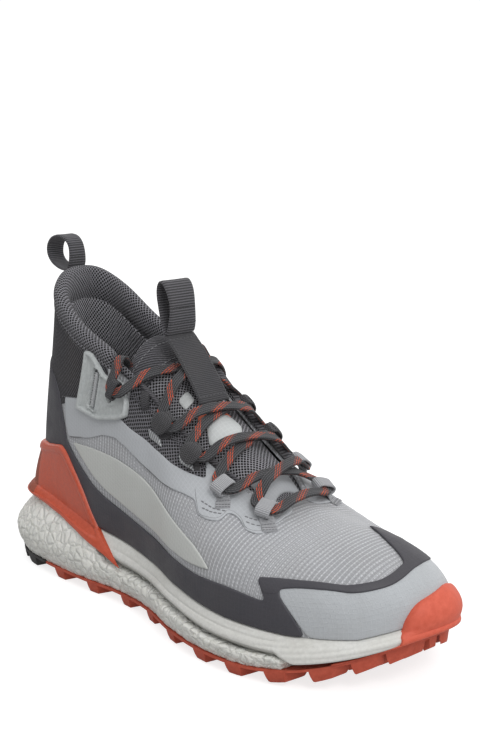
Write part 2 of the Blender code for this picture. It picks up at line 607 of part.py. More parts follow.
def through(k, inner, toe_first):
    """lace passing through an eyelet, turning back towards the middle on both sides"""
    c, n, d, w = centres[(k, inner)]
    s = 1 if toe_first else -1
    for q, m in ((6.4, 3.6), (3.5, .3), (0, -.8), (-3.5, .3), (-6.4, 3.6)):
        if k == 4 and q * s < -5:
            continue
        add(c + d * q * s + w * m, n)


CROWN = np.array([tongue(t, 0, 0, True)[0] for t in np.linspace(4.9, 11., 20)])


def across(k0, in0, k1, in1, over, s0, s1, bar=False):
    """strand over the tongue from one eyelet to the next, arched over the crown"""
    c0, n0, d0, w0 = centres[(k0, in0)]
    c1, n1, d1, w1 = centres[(k1, in1)]
    a = c0 + d0 * 7.0 * s0 + w0 * 4.6
    b = c1 + d1 * 7.0 * s1 + w1 * 4.6
    m = (a + b) / 2
    if bar:
        rise = 2.6
    else:
        tilt = unit(n0 + n1)
        rise = float(np.interp(m[0], CROWN[:, 0], CROWN[:, 2])) + LACE_LOW / tilt[2] - m[2]
    for f in (.16, .28, .4, .5, .6, .72, .84):
        p = a * (1 - f) + b * f
        p[2] += rise * (1 - (2 * f - 1) ** 2) ** .85
        n = unit(n0 * (1 - f) + n1 * f)
        if over:
            p = p + n * LACE_GAP * min(1., max(0., (.48 - abs(f - .5)) / .16))
        add(p, n)


def tail(inner):
    """free end tucked inside the collar beside the tongue"""
    tq = 26 - 4.62 if inner else 4.62
    out = []
    for v, o in ((.96, 6.4),):
        p = off([tq], [v], o, skirt)[0]
        out.append((p, unit(off([tq], [v], o + 1, skirt)[0] - p)))
    top = skirt([tq], [1.])[0]
    n = unit(off([tq], [1.], 1., skirt)[0] - top)
    up = np.array([0, 0, 1.])
    out.append((top + n * 2.0 + up * 4.6, unit(n * .8 + up)))
    out.append((top - n * 4.5 + up * 4.8, unit(-n * .5 + up)))
    out.append((top - n * 10.0 + up * .5, unit(-n + up * .3)))
    for v, o in ((.92, -12.5), (.84, -13.0), (.76, -13.)):
        p = off([tq], [v], o, skirt)[0]
        out.append((p, -unit(off([tq], [v], o + 1, skirt)[0] - p)))
    return out


# outer end -> plate -> down the zig-zag -> bottom bar -> up the other zig-zag -> inner end
first = [(4, False), (3, True), (2, False), (1, True), (0, False)]
second = [(0, True), (1, False), (2, True), (3, False), (4, True)]
for p, n in tail(False)[::-1]:
    add(p, n)
for q, (k, inn) in enumerate(first):
    through(k, inn, False)
    if q < 4:
        across(k, inn, first[q + 1][0], first[q + 1][1], q >= 2, 1, -1)
across(0, False, 0, True, False, 1, 1, bar=True)
for q, (k, inn) in enumerate(second):
    through(k, inn, True)
    if q < 4:
        across(k, inn, second[q + 1][0], second[q + 1][1], q >= 2, -1, 1)
for p, n in tail(True):
    add(p, n)


def smooth(P, N, step):
    """even resampling of a Catmull-Rom path"""
    P = np.concatenate([[2 * P[0] - P[1]], P, [2 * P[-1] - P[-2]]])
    N = np.concatenate([[N[0]], N, [N[-1]]])
    out, on = [], []
    for i in range(1, len(P) - 2):
        for f in np.linspace(0, 1, 12, endpoint=False):
            p0, p1, p2, p3 = P[i - 1:i + 3]
            out.append(.5 * (2 * p1 + (p2 - p0) * f + (2 * p0 - 5 * p1 + 4 * p2 - p3) * f * f + (3 * p1 - p0 - 3 * p2 + p3) * f ** 3))
            a = N[i]
            b = N[i + 1]
            on.append(unit(a * (1 - f) + b * f))
    out.append(P[-2])
    on.append(N[-2])
    out, on = np.array(out), np.array(on)
    L = np.concatenate([[0], np.cumsum(np.linalg.norm(np.diff(out, axis=0), axis=1))])
    k = int(round(L[-1] / step))
    q = np.linspace(0, L[-1], k + 1)
    R = np.stack([np.interp(q, L, out[:, c]) for c in range(3)], 1)
    S = unit(np.stack([np.interp(q, L, on[:, c]) for c in range(3)], 1))
    return R, S, L[-1]


P, N, LACE_LENGTH = smooth(np.array(path), np.array(norm), 3.9)
d = unit(np.gradient(P, axis=0))
N = unit(N - d * np.sum(N * d, 1)[:, None])
W = unit(np.cross(d, N))
sweep("lace", P, W, N, LACE_W, LACE_T, (.09, .09, .10), flat=True, rough=.9)
for sfx, i, sg in (("outer", 0, -1), ("inner", -1, 1)):
    e, dd = P[i], d[i] * sg
    q = np.array([e + dd * .5, e + dd * 8., e + dd * 16.])
    sweep("lace_aglet_" + sfx, q, np.tile(W[i], (3, 1)), np.tile(N[i], (3, 1)), 3.6, 2.2, (.8, .25, .1), flat=False, rough=.3)

# ---------------------------------------------------------------- objects
allv = np.concatenate([p[0] for p in PARTS.values()])
low, high = allv.min(0), allv.max(0)
ORIGIN = np.array([(low[0] + high[0]) / 2, (low[1] + high[1]) / 2, low[2]])


def material(name, colour, rough):
    mat = bpy.data.materials.new(name + "_material")
    mat.use_nodes = True
    b = mat.node_tree.nodes["Principled BSDF"]
    b.inputs["Base Color"].default_value = (*colour, 1)
    b.inputs["Roughness"].default_value = rough
    return mat


for name, (V, F, colour, rough, pivot) in PARTS.items():
    pos = np.zeros(3)
    if pivot is not None:
        if pivot == "insole":
            pivot = (INSOLE_PIVOT_X, 0.0, float(zf(INSOLE_PIVOT_X)) + 1.5 + BOARD_T + .9 + 4.6 * (INSOLE_PIVOT_X - 268) / 25)
        pos = (np.array(pivot) - ORIGIN) * MM
    me = bpy.data.meshes.new(name)
    me.from_pydata(((V - ORIGIN) * MM - pos).tolist(), [], F)
    bm = bmesh.new()
    bm.from_mesh(me)
    bmesh.ops.triangulate(bm, faces=bm.faces[:])
    bmesh.ops.recalc_face_normals(bm, faces=bm.faces[:])
    if bm.calc_volume(signed=True) < 0:
        bmesh.ops.reverse_faces(bm, faces=bm.faces[:])
    bm.to_mesh(me)
    bm.free()
    me.validate()
    ob = bpy.data.objects.new(name, me)
    ob.location = Vector(pos)
    me.materials.append(material(name, colour, rough))
    bpy.context.scene.collection.objects.link(ob)
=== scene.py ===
"""Looks for the mid-height hiking boot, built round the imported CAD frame.
All lengths in the helpers are millimetres in the part's own frame; put() turns them into the row frame."""

import bpy
import bmesh
import math
import numpy as np
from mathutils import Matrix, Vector
from mathutils.geometry import delaunay_2d_cdt


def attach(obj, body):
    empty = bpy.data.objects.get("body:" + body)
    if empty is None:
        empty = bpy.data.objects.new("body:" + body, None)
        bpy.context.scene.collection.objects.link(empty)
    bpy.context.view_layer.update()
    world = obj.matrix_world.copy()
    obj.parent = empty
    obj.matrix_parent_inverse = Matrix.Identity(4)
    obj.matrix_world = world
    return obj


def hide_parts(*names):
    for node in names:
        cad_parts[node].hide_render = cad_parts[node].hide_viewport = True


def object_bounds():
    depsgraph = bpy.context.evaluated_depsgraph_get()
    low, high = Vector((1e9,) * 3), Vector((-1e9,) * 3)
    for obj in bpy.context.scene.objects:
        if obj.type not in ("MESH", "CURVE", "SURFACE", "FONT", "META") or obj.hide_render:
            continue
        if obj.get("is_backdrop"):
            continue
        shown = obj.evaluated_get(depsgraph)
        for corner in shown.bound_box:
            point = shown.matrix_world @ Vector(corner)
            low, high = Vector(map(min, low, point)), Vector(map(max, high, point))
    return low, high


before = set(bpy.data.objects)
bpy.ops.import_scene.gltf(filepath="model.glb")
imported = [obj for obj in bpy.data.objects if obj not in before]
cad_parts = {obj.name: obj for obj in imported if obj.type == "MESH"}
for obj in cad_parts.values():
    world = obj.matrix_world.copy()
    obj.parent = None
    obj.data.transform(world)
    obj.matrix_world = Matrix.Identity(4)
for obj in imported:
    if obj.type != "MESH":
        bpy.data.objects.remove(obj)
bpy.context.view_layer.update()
RNG = np.random.default_rng(7)

# ---------------------------------------------------------------- the boot's driving surfaces, millimetres
ORIGIN = np.array([150.59205035, -1.277698, 0.0])
TOE_SPRING, TOE_SPRING_FROM, HEEL_BEVEL = 18.0, 225.0, 6.0
LUG_DEPTH, SHEET_TOP, FOAM_BASE = 4.6, 6.7, 7.0
LEDGE_INSET, RIM_INSET = 12.3, 11.6
CORNER_T = 4.45
TONGUE_THICK, TONGUE_EDGE_V = 4.4, .88
LACE_W, LACE_T, LACE_LOW, LACE_GAP = 5.2, 1.6, 5.0, 3.1
LOOP_W, LOOP_IN_W, LOOP_IN_H, LOOP_T, LOOP_BASE = 5.6, 9.4, 3.8, 1.1, 2.2
# plan outline of the sole, x from the heel, y towards the inside
SOLE = [(-2, 0), (4, -26), (20, -40.5), (48, -44.5), (82, -44.5), (115, -42), (145, -45), (175, -54), (205, -58.5),
        (232, -56), (258, -47), (280, -33), (296, -13), (304, 10), (301, 28), (286, 43), (262, 52), (235, 56),
        (208, 54), (180, 47), (150, 39), (120, 36), (88, 38), (48, 41.5), (20, 37), (4, 24)]
# top line of the upper: x, y, z, tangent angle, lower handle, upper handle, lean
TOP = [(27, 0, 177, 87, .38, .32, -.08), (32, -16, 175, 87, .38, .32, -.04), (44, -28, 166, 87, .38, .32, .02),
       (66, -32, 152, 86, .38, .33, .08), (92, -31, 141, 82, .36, .33, .10), (110, -28, 133, 70, .36, .33, .10),
       (128, -25, 121, 58, .38, .34, .10), (147, -23, 107, 50, .40, .36, .12), (167, -21, 95, 44, .42, .38, .14),
       (186, -18, 85, 38, .42, .40, .14), (199, -13, 78, 30, .42, .42, .14), (206, -8, 75, 22, .40, .40, .14),
       (209, -2, 74, 18, .38, .38, .12), (210, 3, 74, 17, .36, .38, .10),
       (209, 8, 74, 19, .36, .34, .10), (205, 14, 75, 26, .35, .31, .10), (198, 18, 79, 34, .37, .30, .10),
       (185, 21, 86, 44, .40, .32, .10), (166, 22, 96, 50, .40, .34, .08), (146, 23, 108, 56, .40, .34, .06),
       (127, 24, 121, 62, .38, .34, .04), (110, 26, 133, 72, .36, .33, .04), (92, 28, 140, 82, .36, .33, .04),
       (66, 28, 150, 86, .38, .33, .02), (44, 24, 165, 87, .38, .32, .0), (32, 13, 175, 87, .38, .32, -.04)]
FEATHER = ([0, 30, 60, 100, 140, 180, 220, 255, 285, 304], [50, 48, 43, 37, 32.5, 30.5, 27.5, 26, 27, 33])
FEATHER_INSET = ([-2, 20, 50, 90, 150, 250, 290, 304], [20, 16, 11, 7, 5, 4.5, 4.5, 5.5])
BULGE = ([-2, 40, 100, 200, 304], [4.5, 3., 2., 1.6, 1.2])
# height of the foam / rim groove, as a share of the side wall
GROOVE = ([0, 4.0, 4.5, 5.1, 5.85, 7.0, 8.15, 9.0, 9.7, 10.1, 13], [1, 1, .60, .55, .58, .58, .50, .48, .46, .05, .03])
# lacing levels, station and height on the outer side; the inner side mirrors them
LEVELS = [(10.0, .84), (8.6, .84), (7.65, .90), (6.6, .91), (4.95, .86)]

SO = np.array(SOLE, float)
TP = np.array(TOP, float)


def cr(P, t):
    """closed Catmull-Rom through the stations"""
    P = np.asarray(P, float)
    n = len(P)
    t = np.atleast_1d(np.asarray(t, float))
    i = np.floor(t).astype(int)
    f = (t - i)[:, None]
    p0, p1, p2, p3 = P[(i - 1) % n], P[i % n], P[(i + 1) % n], P[(i + 2) % n]
    return .5 * (2 * p1 + (p2 - p0) * f + (2 * p0 - 5 * p1 + 4 * p2 - p3) * f * f + (3 * p1 - p0 - 3 * p2 + p3) * f ** 3)


def plan(t, inset):
    P = cr(SO, t)
    if callable(inset):
        inset = inset(P[:, 0])
    d = cr(SO, np.asarray(t) + .02) - cr(SO, np.asarray(t) - .02)
    d /= np.linalg.norm(d, axis=1)[:, None]
    n = np.stack([d[:, 1], -d[:, 0]], 1)
    return P - n * np.broadcast_to(np.asarray(inset, float), (len(P),))[:, None], n


def zf(x):
    return np.interp(x, *FEATHER)


def zs(x):
    x = np.asarray(x, float)
    a = np.clip((x - TOE_SPRING_FROM) / 79., 0, None) ** 2 * TOE_SPRING
    b = np.clip((30 - x) / 32., 0, None) ** 2 * HEEL_BEVEL
    return a + b


def tuck(x):
    """how far the sole draws in under the toe"""
    q = np.clip((np.asarray(x, float) - 252) / 50, 0, 1)
    return 6.2 * q * q * (3 - 2 * q)


def skirt(t, v):
    """upper: v 0 at the feather line, 1 at the top line"""
    t = np.atleast_1d(np.asarray(t, float))
    v = np.atleast_1d(np.asarray(v, float))
    t, v = np.broadcast_arrays(t, v)
    x0 = cr(SO, t)[:, 0]
    B2, n = plan(t, np.interp(x0, *FEATHER_INSET))
    R = cr(TP, t)
    B = np.column_stack([B2, zf(x0)])
    Tt = R[:, :3]
    phi = np.radians(R[:, 3])
    L = np.linalg.norm(Tt - B, axis=1)
    h = B[:, :2] - Tt[:, :2]
    h = h / np.maximum(np.linalg.norm(h, axis=1)[:, None], 1e-6)
    w = np.clip((R[:, 3] - 60) / 20, 0, 1)[:, None]
    hn = h * (1 - w) + n * w
    hn /= np.linalg.norm(hn, axis=1)[:, None]
    d0 = np.column_stack([n * R[:, 6:7], np.ones(len(t))])
    d0 /= np.linalg.norm(d0, axis=1)[:, None]
    d1 = np.column_stack([hn * np.cos(phi)[:, None], -np.sin(phi)])
    P1 = B + d0 * (L * R[:, 4])[:, None]
    P2 = Tt + d1 * (L * R[:, 5])[:, None]
    v = v[:, None]
    return B * (1 - v) ** 3 + 3 * P1 * v * (1 - v) ** 2 + 3 * P2 * v * v * (1 - v) + Tt * v ** 3


def wall(t, w):
    """midsole side: w 0 at the rubber, 1 at the feather line"""
    t = np.atleast_1d(np.asarray(t, float))
    w = np.atleast_1d(np.asarray(w, float))
    t, w = np.broadcast_arrays(t, w)
    x0 = cr(SO, t)[:, 0]
    top = np.interp(x0, *FEATHER_INSET)
    heel = np.clip(1 - x0 / 60, 0, 1)
    bul = np.interp(x0, *BULGE)
    low = 1.5 - (1.5 + bul) * np.sin(np.pi / 2 * np.clip(w, 0, .35) / .35)
    ww = np.clip((w - .35) / .65, 0, 1)
    up = -bul + (top + bul) * (ww ** 1.5 * (1 - heel) + heel * ww ** 1.25)
    Q, n = plan(t, np.where(w < .35, low, up) + tuck(x0) * (1 - np.clip(w / .75, 0, 1)) ** 1.2)
    z0 = FOAM_BASE + zs(x0)
    return np.column_stack([Q, z0 + (zf(x0) - z0) * w])


def side(t, u):
    """whole side of the boot: u -1..0 is the midsole wall, 0..1 the upper"""
    t, u = np.broadcast_arrays(np.atleast_1d(np.asarray(t, float)), np.atleast_1d(np.asarray(u, float)))
    a = wall(t, 1 + np.minimum(u, 0))
    b = skirt(t, np.maximum(u, 0))
    return np.where((u < 0)[:, None], a, b)


def off(t, u, d, f=side):
    """point on the side, moved d along the outward normal"""
    t, u = np.broadcast_arrays(np.atleast_1d(np.asarray(t, float)), np.atleast_1d(np.asarray(u, float)))
    e = .03
    hi, lo = (np.minimum(u + e, 1), np.maximum(u - e, 0 if f is skirt else -1))
    du = f(t, hi) - f(t, lo)
    dt = f(t + e, u) - f(t - e, u)
    n = np.cross(dt, du)
    n /= np.maximum(np.linalg.norm(n, axis=1)[:, None], 1e-9)
    return f(t, u) + n * np.broadcast_to(np.asarray(d, float), (len(t),))[:, None]


def unit(v):
    v = np.asarray(v, float)
    return v / np.maximum(np.linalg.norm(v, axis=-1, keepdims=True), 1e-9)


def columns(t0, t1, step=.5):
    k = np.arange(math.ceil(t0 / step + 1e-6), math.floor(t1 / step - 1e-6) + 1) * step
    return np.array([t0] + [x for x in k if x - t0 > .12 and t1 - x > .12] + [t1])


def sole_rows(rows, cols, inset, first_arc, last_arc, chevron=0.):
    """plan grid across the foot: rows of stations, columns from the outer to the inner side"""
    G = []
    s = np.asarray(cols, float)
    for k, i in enumerate(rows):
        if k == 0 and first_arc:
            p = plan(-i * s, inset)[0]
        elif k == len(rows) - 1 and last_arc:
            p = plan(13 + (13 - i) * s, inset)[0]
        else:
            a = plan([i], inset)[0][0]
            b = plan([26 - i], inset)[0][0]
            f = ((s + 1) / 2)[:, None]
            p = a * (1 - f) + b * f
            p[:, 0] += chevron * (1 - s ** 2) * min(1., max(0., (11.6 - i) / 2.), ) * min(1., max(0., (i - .9) / 1.5))
        G.append(p)
    return np.array(G)


TONGUE_CACHE = {}


def tongue_frame(t, crown):
    key = (round(t, 6), crown)
    if key not in TONGUE_CACHE:
        deep = np.interp(t, [7.5, 8.6, 10.], [-5.2, -7.2, -8.2])
        El = off([t], [TONGUE_EDGE_V], deep, skirt)[0]
        Em = off([26 - t], [TONGUE_EDGE_V], deep, skirt)[0]
        R = skirt([t - .15, t, t + .15, 26 - t + .15, 26 - t, 26 - t - .15], [1.] * 6)
        rim = (R[:3] + R[3:]) / 2
        tan = unit(rim[2] - rim[0])
        N = unit(np.array([-tan[2], 0, tan[0]]))
        h = np.interp(t, [4.9, 6, 7.8, 9.0, 10.0, 10.9], [7.5, 5.5, 4.6, 2.8, -1.0, -5.0])
        if crown:
            h = np.interp(t, [4.9, 6, 9, 11], [7.5, 5.5, 4.6, 4.])
        Mid = rim[1] + N * h
        Mid[1] = (El[1] + Em[1]) / 2
        TONGUE_CACHE[key] = (El, Em, Mid, tan, N)
    return TONGUE_CACHE[key]


def tongue(t, a, d=0., crown=False):
    """middle surface of the tongue: t station 4.9..11.6, a -1 outer edge .. 1 inner edge"""
    El, Em, Mid, tan, N = tongue_frame(float(t), crown)
    P = El * (a * (a - 1) / 2) + Mid * (1 - a * a) + Em * (a * (a + 1) / 2)
    cross = El * (a - .5) - Mid * (2 * a) + Em * (a + .5)
    n = np.array([tan[1] * cross[2] - tan[2] * cross[1], tan[2] * cross[0] - tan[0] * cross[2], tan[0] * cross[1] - tan[1] * cross[0]])
    n /= max(math.sqrt(n @ n), 1e-9)
    if n @ N < 0:
        n = -n
    return P + n * d, n


def half(a):
    return TONGUE_THICK / 2 * (1 - .62 * abs(a) ** 3)


def eyelet_frame(t, v, base, inner):
    tq = 26 - t if inner else t
    p = off([tq], [v], 0, skirt)[0]
    n = unit(off([tq], [v], 1., skirt)[0] - p)
    e = .15
    d = unit(skirt([tq + e], [v])[0] - skirt([tq - e], [v])[0])
    if inner:
        d = -d
    d = unit(d - n * (d @ n))
    w = unit(np.cross(n, d))
    if inner:
        w = -w                     # towards the middle of the throat
    return p, n, d, w




def fold(t):
    return np.minimum(t, 26 - t)


# ---------------------------------------------------------------- charts of the surface, for weaves and seams
TG, UG = np.linspace(0, 26, 157), np.linspace(-1, 1, 49)
_A = np.array([side(np.full(len(UG), t % 26), UG) for t in TG])
_c = np.concatenate([np.zeros((len(TG), 1)), np.cumsum(np.linalg.norm(np.diff(_A, axis=1), axis=2), 1)], 1)
COL = _c - _c[:, 24:25]
ROW = np.concatenate([np.zeros((1, len(UG))), np.cumsum(np.linalg.norm(np.diff(_A, axis=0), axis=2), 0)], 0)


def bil(T, t, u):
    a = np.clip(np.asarray(t, float) / 26 * (len(TG) - 1), 0, len(TG) - 1.001)
    b = np.clip((np.asarray(u, float) + 1) / 2 * (len(UG) - 1), 0, len(UG) - 1.001)
    i, j = a.astype(int), b.astype(int)
    f, g = a - i, b - j
    return (T[i, j] * (1 - f) + T[i + 1, j] * f) * (1 - g) + (T[i, j + 1] * (1 - f) + T[i + 1, j + 1] * f) * g


GX = np.linspace(10, 306, 75)
GA = np.linspace(-2.2, 2.2, 89)


def section_height(x):
    return zf(x) + 14.


def _girth():
    """distance round the foot from the middle of the vamp, by x and angle"""
    t, u = np.meshgrid(np.linspace(0, 26, 521)[:-1], np.linspace(0, 1, 81), indexing="ij")
    P = skirt(t.ravel(), u.ravel())
    x, a = P[:, 0], np.arctan2(P[:, 1], P[:, 2] - section_height(P[:, 0]))
    r = np.hypot(P[:, 1], P[:, 2] - section_height(x))
    W = np.zeros((len(GX), len(GA)))
    for i, gx in enumerate(GX):
        k = np.abs(x - gx) < 3.
        if k.sum() < 12:
            continue
        o = np.argsort(a[k])
        rr = np.interp(GA, a[k][o], r[k][o])
        rr = np.convolve(np.pad(rr, 2, mode="edge"), np.ones(5) / 5, "valid")
        d = np.hypot(rr, np.gradient(rr, GA)) * (GA[1] - GA[0])
        W[i] = np.cumsum(d) - np.cumsum(d)[len(GA) // 2]
    for i in range(len(GX)):
        if not W[i].any():
            k = min((j for j in range(len(GX)) if W[j].any()), key=lambda j: abs(j - i))
            W[i] = W[k]
    return W


GW = _girth()


def chart(t, u, P, mode):
    """texture place in millimetres: heel and toe run along the surface, girth has its lines across the foot"""
    t = np.asarray(t, float) % 26
    if mode == "girth":
        x = P[:, 0]
        a = np.arctan2(P[:, 1], P[:, 2] - section_height(x))
        fx = np.clip((x - GX[0]) / (GX[1] - GX[0]), 0, len(GX) - 1.001)
        fa = np.clip((a - GA[0]) / (GA[1] - GA[0]), 0, len(GA) - 1.001)
        i, j = fx.astype(int), fa.astype(int)
        f, g = fx - i, fa - j
        w = (GW[i, j] * (1 - f) + GW[i + 1, j] * f) * (1 - g) + (GW[i, j + 1] * (1 - f) + GW[i + 1, j + 1] * f) * g
        return np.column_stack([x, w])
    s = bil(ROW, t, u)
    if mode == "toe":
        s = s - bil(ROW, np.full(len(t), 13.), u)
    else:
        s = np.where(t > 13, s - bil(ROW, np.full(len(t), 26.), u), s)
    return np.column_stack([s, bil(COL, t, u)])


# ---------------------------------------------------------------- mesh helpers
PIECES = []


def put(P, pivot=None):
    return (np.asarray(P, float) - ORIGIN) / 1000.


def make(name, V, F, mats, nodes=(), uv=None, body="boot", angle=40., mi=None, levels=0):
    """mesh piece from points in millimetres. uv is one place per point; mi is one material index per face."""
    me = bpy.data.meshes.new(name)
    me.from_pydata(put(V).tolist(), [], [tuple(int(x) for x in f) for f in F])
    mats = mats if isinstance(mats, (list, tuple)) else [mats]
    for m in mats:
        me.materials.append(m)
    if mi is not None:
        me.polygons.foreach_set("material_index", np.asarray(mi, np.int32))
    if uv is not None:
        uv = np.asarray(uv, float)
        lay = me.uv_layers.new(name="UVMap")
        vi = np.zeros(len(me.loops), np.int32)
        me.loops.foreach_get("vertex_index", vi)
        q = uv[vi].copy()
        st, tot = np.zeros(len(me.polygons), np.int32), np.zeros(len(me.polygons), np.int32)
        me.polygons.foreach_get("loop_start", st)
        me.polygons.foreach_get("loop_total", tot)
        big = np.maximum.reduceat(q[:, 0], st) - np.minimum.reduceat(q[:, 0], st) > 150
        for k in np.nonzero(big)[0]:
            a = q[st[k]:st[k] + tot[k], 0]
            span = a.max() - a.min()
            a[a < a.mean()] += span
            q[st[k]:st[k] + tot[k], 0] = a
        lay.data.foreach_set("uv", q.astype(np.float32).ravel())
    bm = bmesh.new()
    bm.from_mesh(me)
    bmesh.ops.recalc_face_normals(bm, faces=bm.faces[:])
    if bm.calc_volume(signed=True) < 0:
        bmesh.ops.reverse_faces(bm, faces=bm.faces[:])
    bm.to_mesh(me)
    bm.free()
    me.shade_smooth()
    me.set_sharp_from_angle(angle=math.radians(angle))
    ob = bpy.data.objects.new(name, me)
    bpy.context.scene.collection.objects.link(ob)
    if levels:
        s = ob.modifiers.new("Subdivision", "SUBSURF")
        s.levels = s.render_levels = levels
    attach(ob, body)
    if nodes:
        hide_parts(*nodes)
    PIECES.append(ob)
    return ob


def two_sided(A, B, wrap=False, ends=True):
    """closed sheet between point grids A and B; returns points, faces and the number of faces on side A"""
    n, m = A.shape[:2]
    V = np.concatenate([A.reshape(-1, 3), B.reshape(-1, 3)])
    o = n * m
    F, G = [], []
    for i in range(n if wrap else n - 1):
        k = (i + 1) % n
        for j in range(m - 1):
            a, b, c, d = i * m + j, k * m + j, k * m + j + 1, i * m + j + 1
            F.append((a, b, c, d))
            G.append((o + d, o + c, o + b, o + a))
        G.append((i * m, o + i * m, o + k * m, k * m))
        G.append((k * m + m - 1, o + k * m + m - 1, o + i * m + m - 1, i * m + m - 1))
    if not wrap:
        q = (n - 1) * m
        for j in range(m - 1):
            G.append((j, j + 1, o + j + 1, o + j))
            G.append((q + j + 1, q + j, o + q + j, o + q + j + 1))
    return V, F + G, len(F)


def curve(Q, step=1.5, closed=False):
    """even Catmull-Rom resampling of (station, height) points, spaced in millimetres"""
    Q = np.asarray(Q, float)
    if closed:
        E = np.concatenate([Q[-1:], Q, Q[:2]])
    else:
        E = np.concatenate([2 * Q[:1] - Q[1:2], Q, 2 * Q[-1:] - Q[-2:-1]])
    out = []
    for i in range(1, len(E) - 2):
        p0, p1, p2, p3 = E[i - 1:i + 3]
        # centripetal-like tangents keep the curve inside uneven point spacing
        d0, d1, d2 = (max(np.hypot((b[0] - a[0]) * 28, (b[1] - a[1]) * 100), 1e-6) for a, b in ((p0, p1), (p1, p2), (p2, p3)))
        m1 = ((p1 - p0) / d0 * d1 + (p2 - p1) / d1 * d0) / (d0 + d1) * d1
        m2 = ((p2 - p1) / d1 * d2 + (p3 - p2) / d2 * d1) / (d1 + d2) * d1
        f = np.linspace(0, 1, 14, endpoint=False)[:, None]
        out.append((2 * f ** 3 - 3 * f ** 2 + 1) * p1 + (f ** 3 - 2 * f ** 2 + f) * m1 + (3 * f ** 2 - 2 * f ** 3) * p2 + (f ** 3 - f ** 2) * m2)
    if not closed:
        out.append(E[-2:-1])
    out = np.concatenate(out)
    if closed:
        out = np.concatenate([out, out[:1]])
    P = side(out[:, 0] % 26, np.clip(out[:, 1], -1, 1))
    L = np.concatenate([[0], np.cumsum(np.linalg.norm(np.diff(P, axis=0), axis=1))])
    n = max(2, int(round(L[-1] / step)))
    s = np.linspace(0, L[-1], n + 1)
    R = np.column_stack([np.interp(s, L, out[:, 0]), np.interp(s, L, out[:, 1])])
    return R[:-1] if closed else R


def outline(segs, step=1.6, soften=4, straight=False):
    """closed outline from segments of (station, height) points; the joins are corners, slightly rounded"""
    if straight:
        segs = [[a, b] for s in segs for a, b in zip(s, s[1:])]
    parts = [curve(s, step) for s in segs]
    Q = np.concatenate([p[:-1] if np.allclose(p[-1], parts[(i + 1) % len(parts)][0], atol=1e-6) else p for i, p in enumerate(parts)])
    gap = Q[0] - Q[-1]
    if np.hypot(gap[0] * 28, gap[1] * 100) > step * 1.8:
        Q = np.concatenate([Q, curve([Q[-1], Q[0]], step)[1:-1]])
    else:
        k = [i for i in range(1, len(parts))]
    # fill long joins between segments
    out = [Q[0]]
    for a, b in zip(Q, np.roll(Q, -1, 0)):
        d = np.hypot((b[0] - a[0]) * 28, (b[1] - a[1]) * 100)
        n = int(d // (step * 1.9))
        for q in range(1, n + 1):
            out.append(a + (b - a) * q / (n + 1))
        out.append(b)
    Q = np.array(out[:-1])
    for _ in range(soften):
        Q = (np.roll(Q, 1, 0) + 2 * Q + np.roll(Q, -1, 0)) / 4
    if np.sum(Q[:, 0] * np.roll(Q[:, 1], -1) - np.roll(Q[:, 0], -1) * Q[:, 1]) < 0:
        Q = Q[::-1]
    return Q


def frame_at(t, u):
    e = .02
    lo, hi = np.maximum(u - e, -1), np.minimum(u + e, 1)
    Pt = (side((t + e) % 26, u) - side((t - e) % 26, u)) / (2 * e)
    Pu = (side(t % 26, hi) - side(t % 26, lo)) / (hi - lo)[:, None]
    return Pt, Pu, unit(np.cross(Pt, Pu))


def inset(Q, w):
    """outline moved w millimetres inwards on the surface"""
    t, u = Q[:, 0], Q[:, 1]
    Pt, Pu, n = frame_at(t, u)
    d = np.roll(Q, -1, 0) - np.roll(Q, 1, 0)
    T = unit(Pt * d[:, :1] + Pu * d[:, 1:])
    I = np.cross(n, T) * w
    a, b, c = np.sum(Pt * Pt, 1), np.sum(Pt * Pu, 1), np.sum(Pu * Pu, 1)
    p, q = np.sum(Pt * I, 1), np.sum(Pu * I, 1)
    det = a * c - b * b
    return Q + np.column_stack([(p * c - q * b) / det, (a * q - b * p) / det])


def inside(X, Q):
    """even-odd test of points X against the closed outline Q"""
    x, y = X[:, 0][:, None], X[:, 1][:, None]
    x0, y0 = Q[:, 0][None], Q[:, 1][None]
    x1, y1 = np.roll(Q[:, 0], -1)[None], np.roll(Q[:, 1], -1)[None]
    c = (y0 > y) != (y1 > y)
    with np.errstate(divide="ignore", invalid="ignore"):
        xi = x0 + (y - y0) / (y1 - y0) * (x1 - x0)
    return (np.sum(c & (x < xi), 1) % 2).astype(bool)


def lift(t, u, d):
    return off(np.asarray(t, float) % 26, np.clip(u, -1, 1), d)


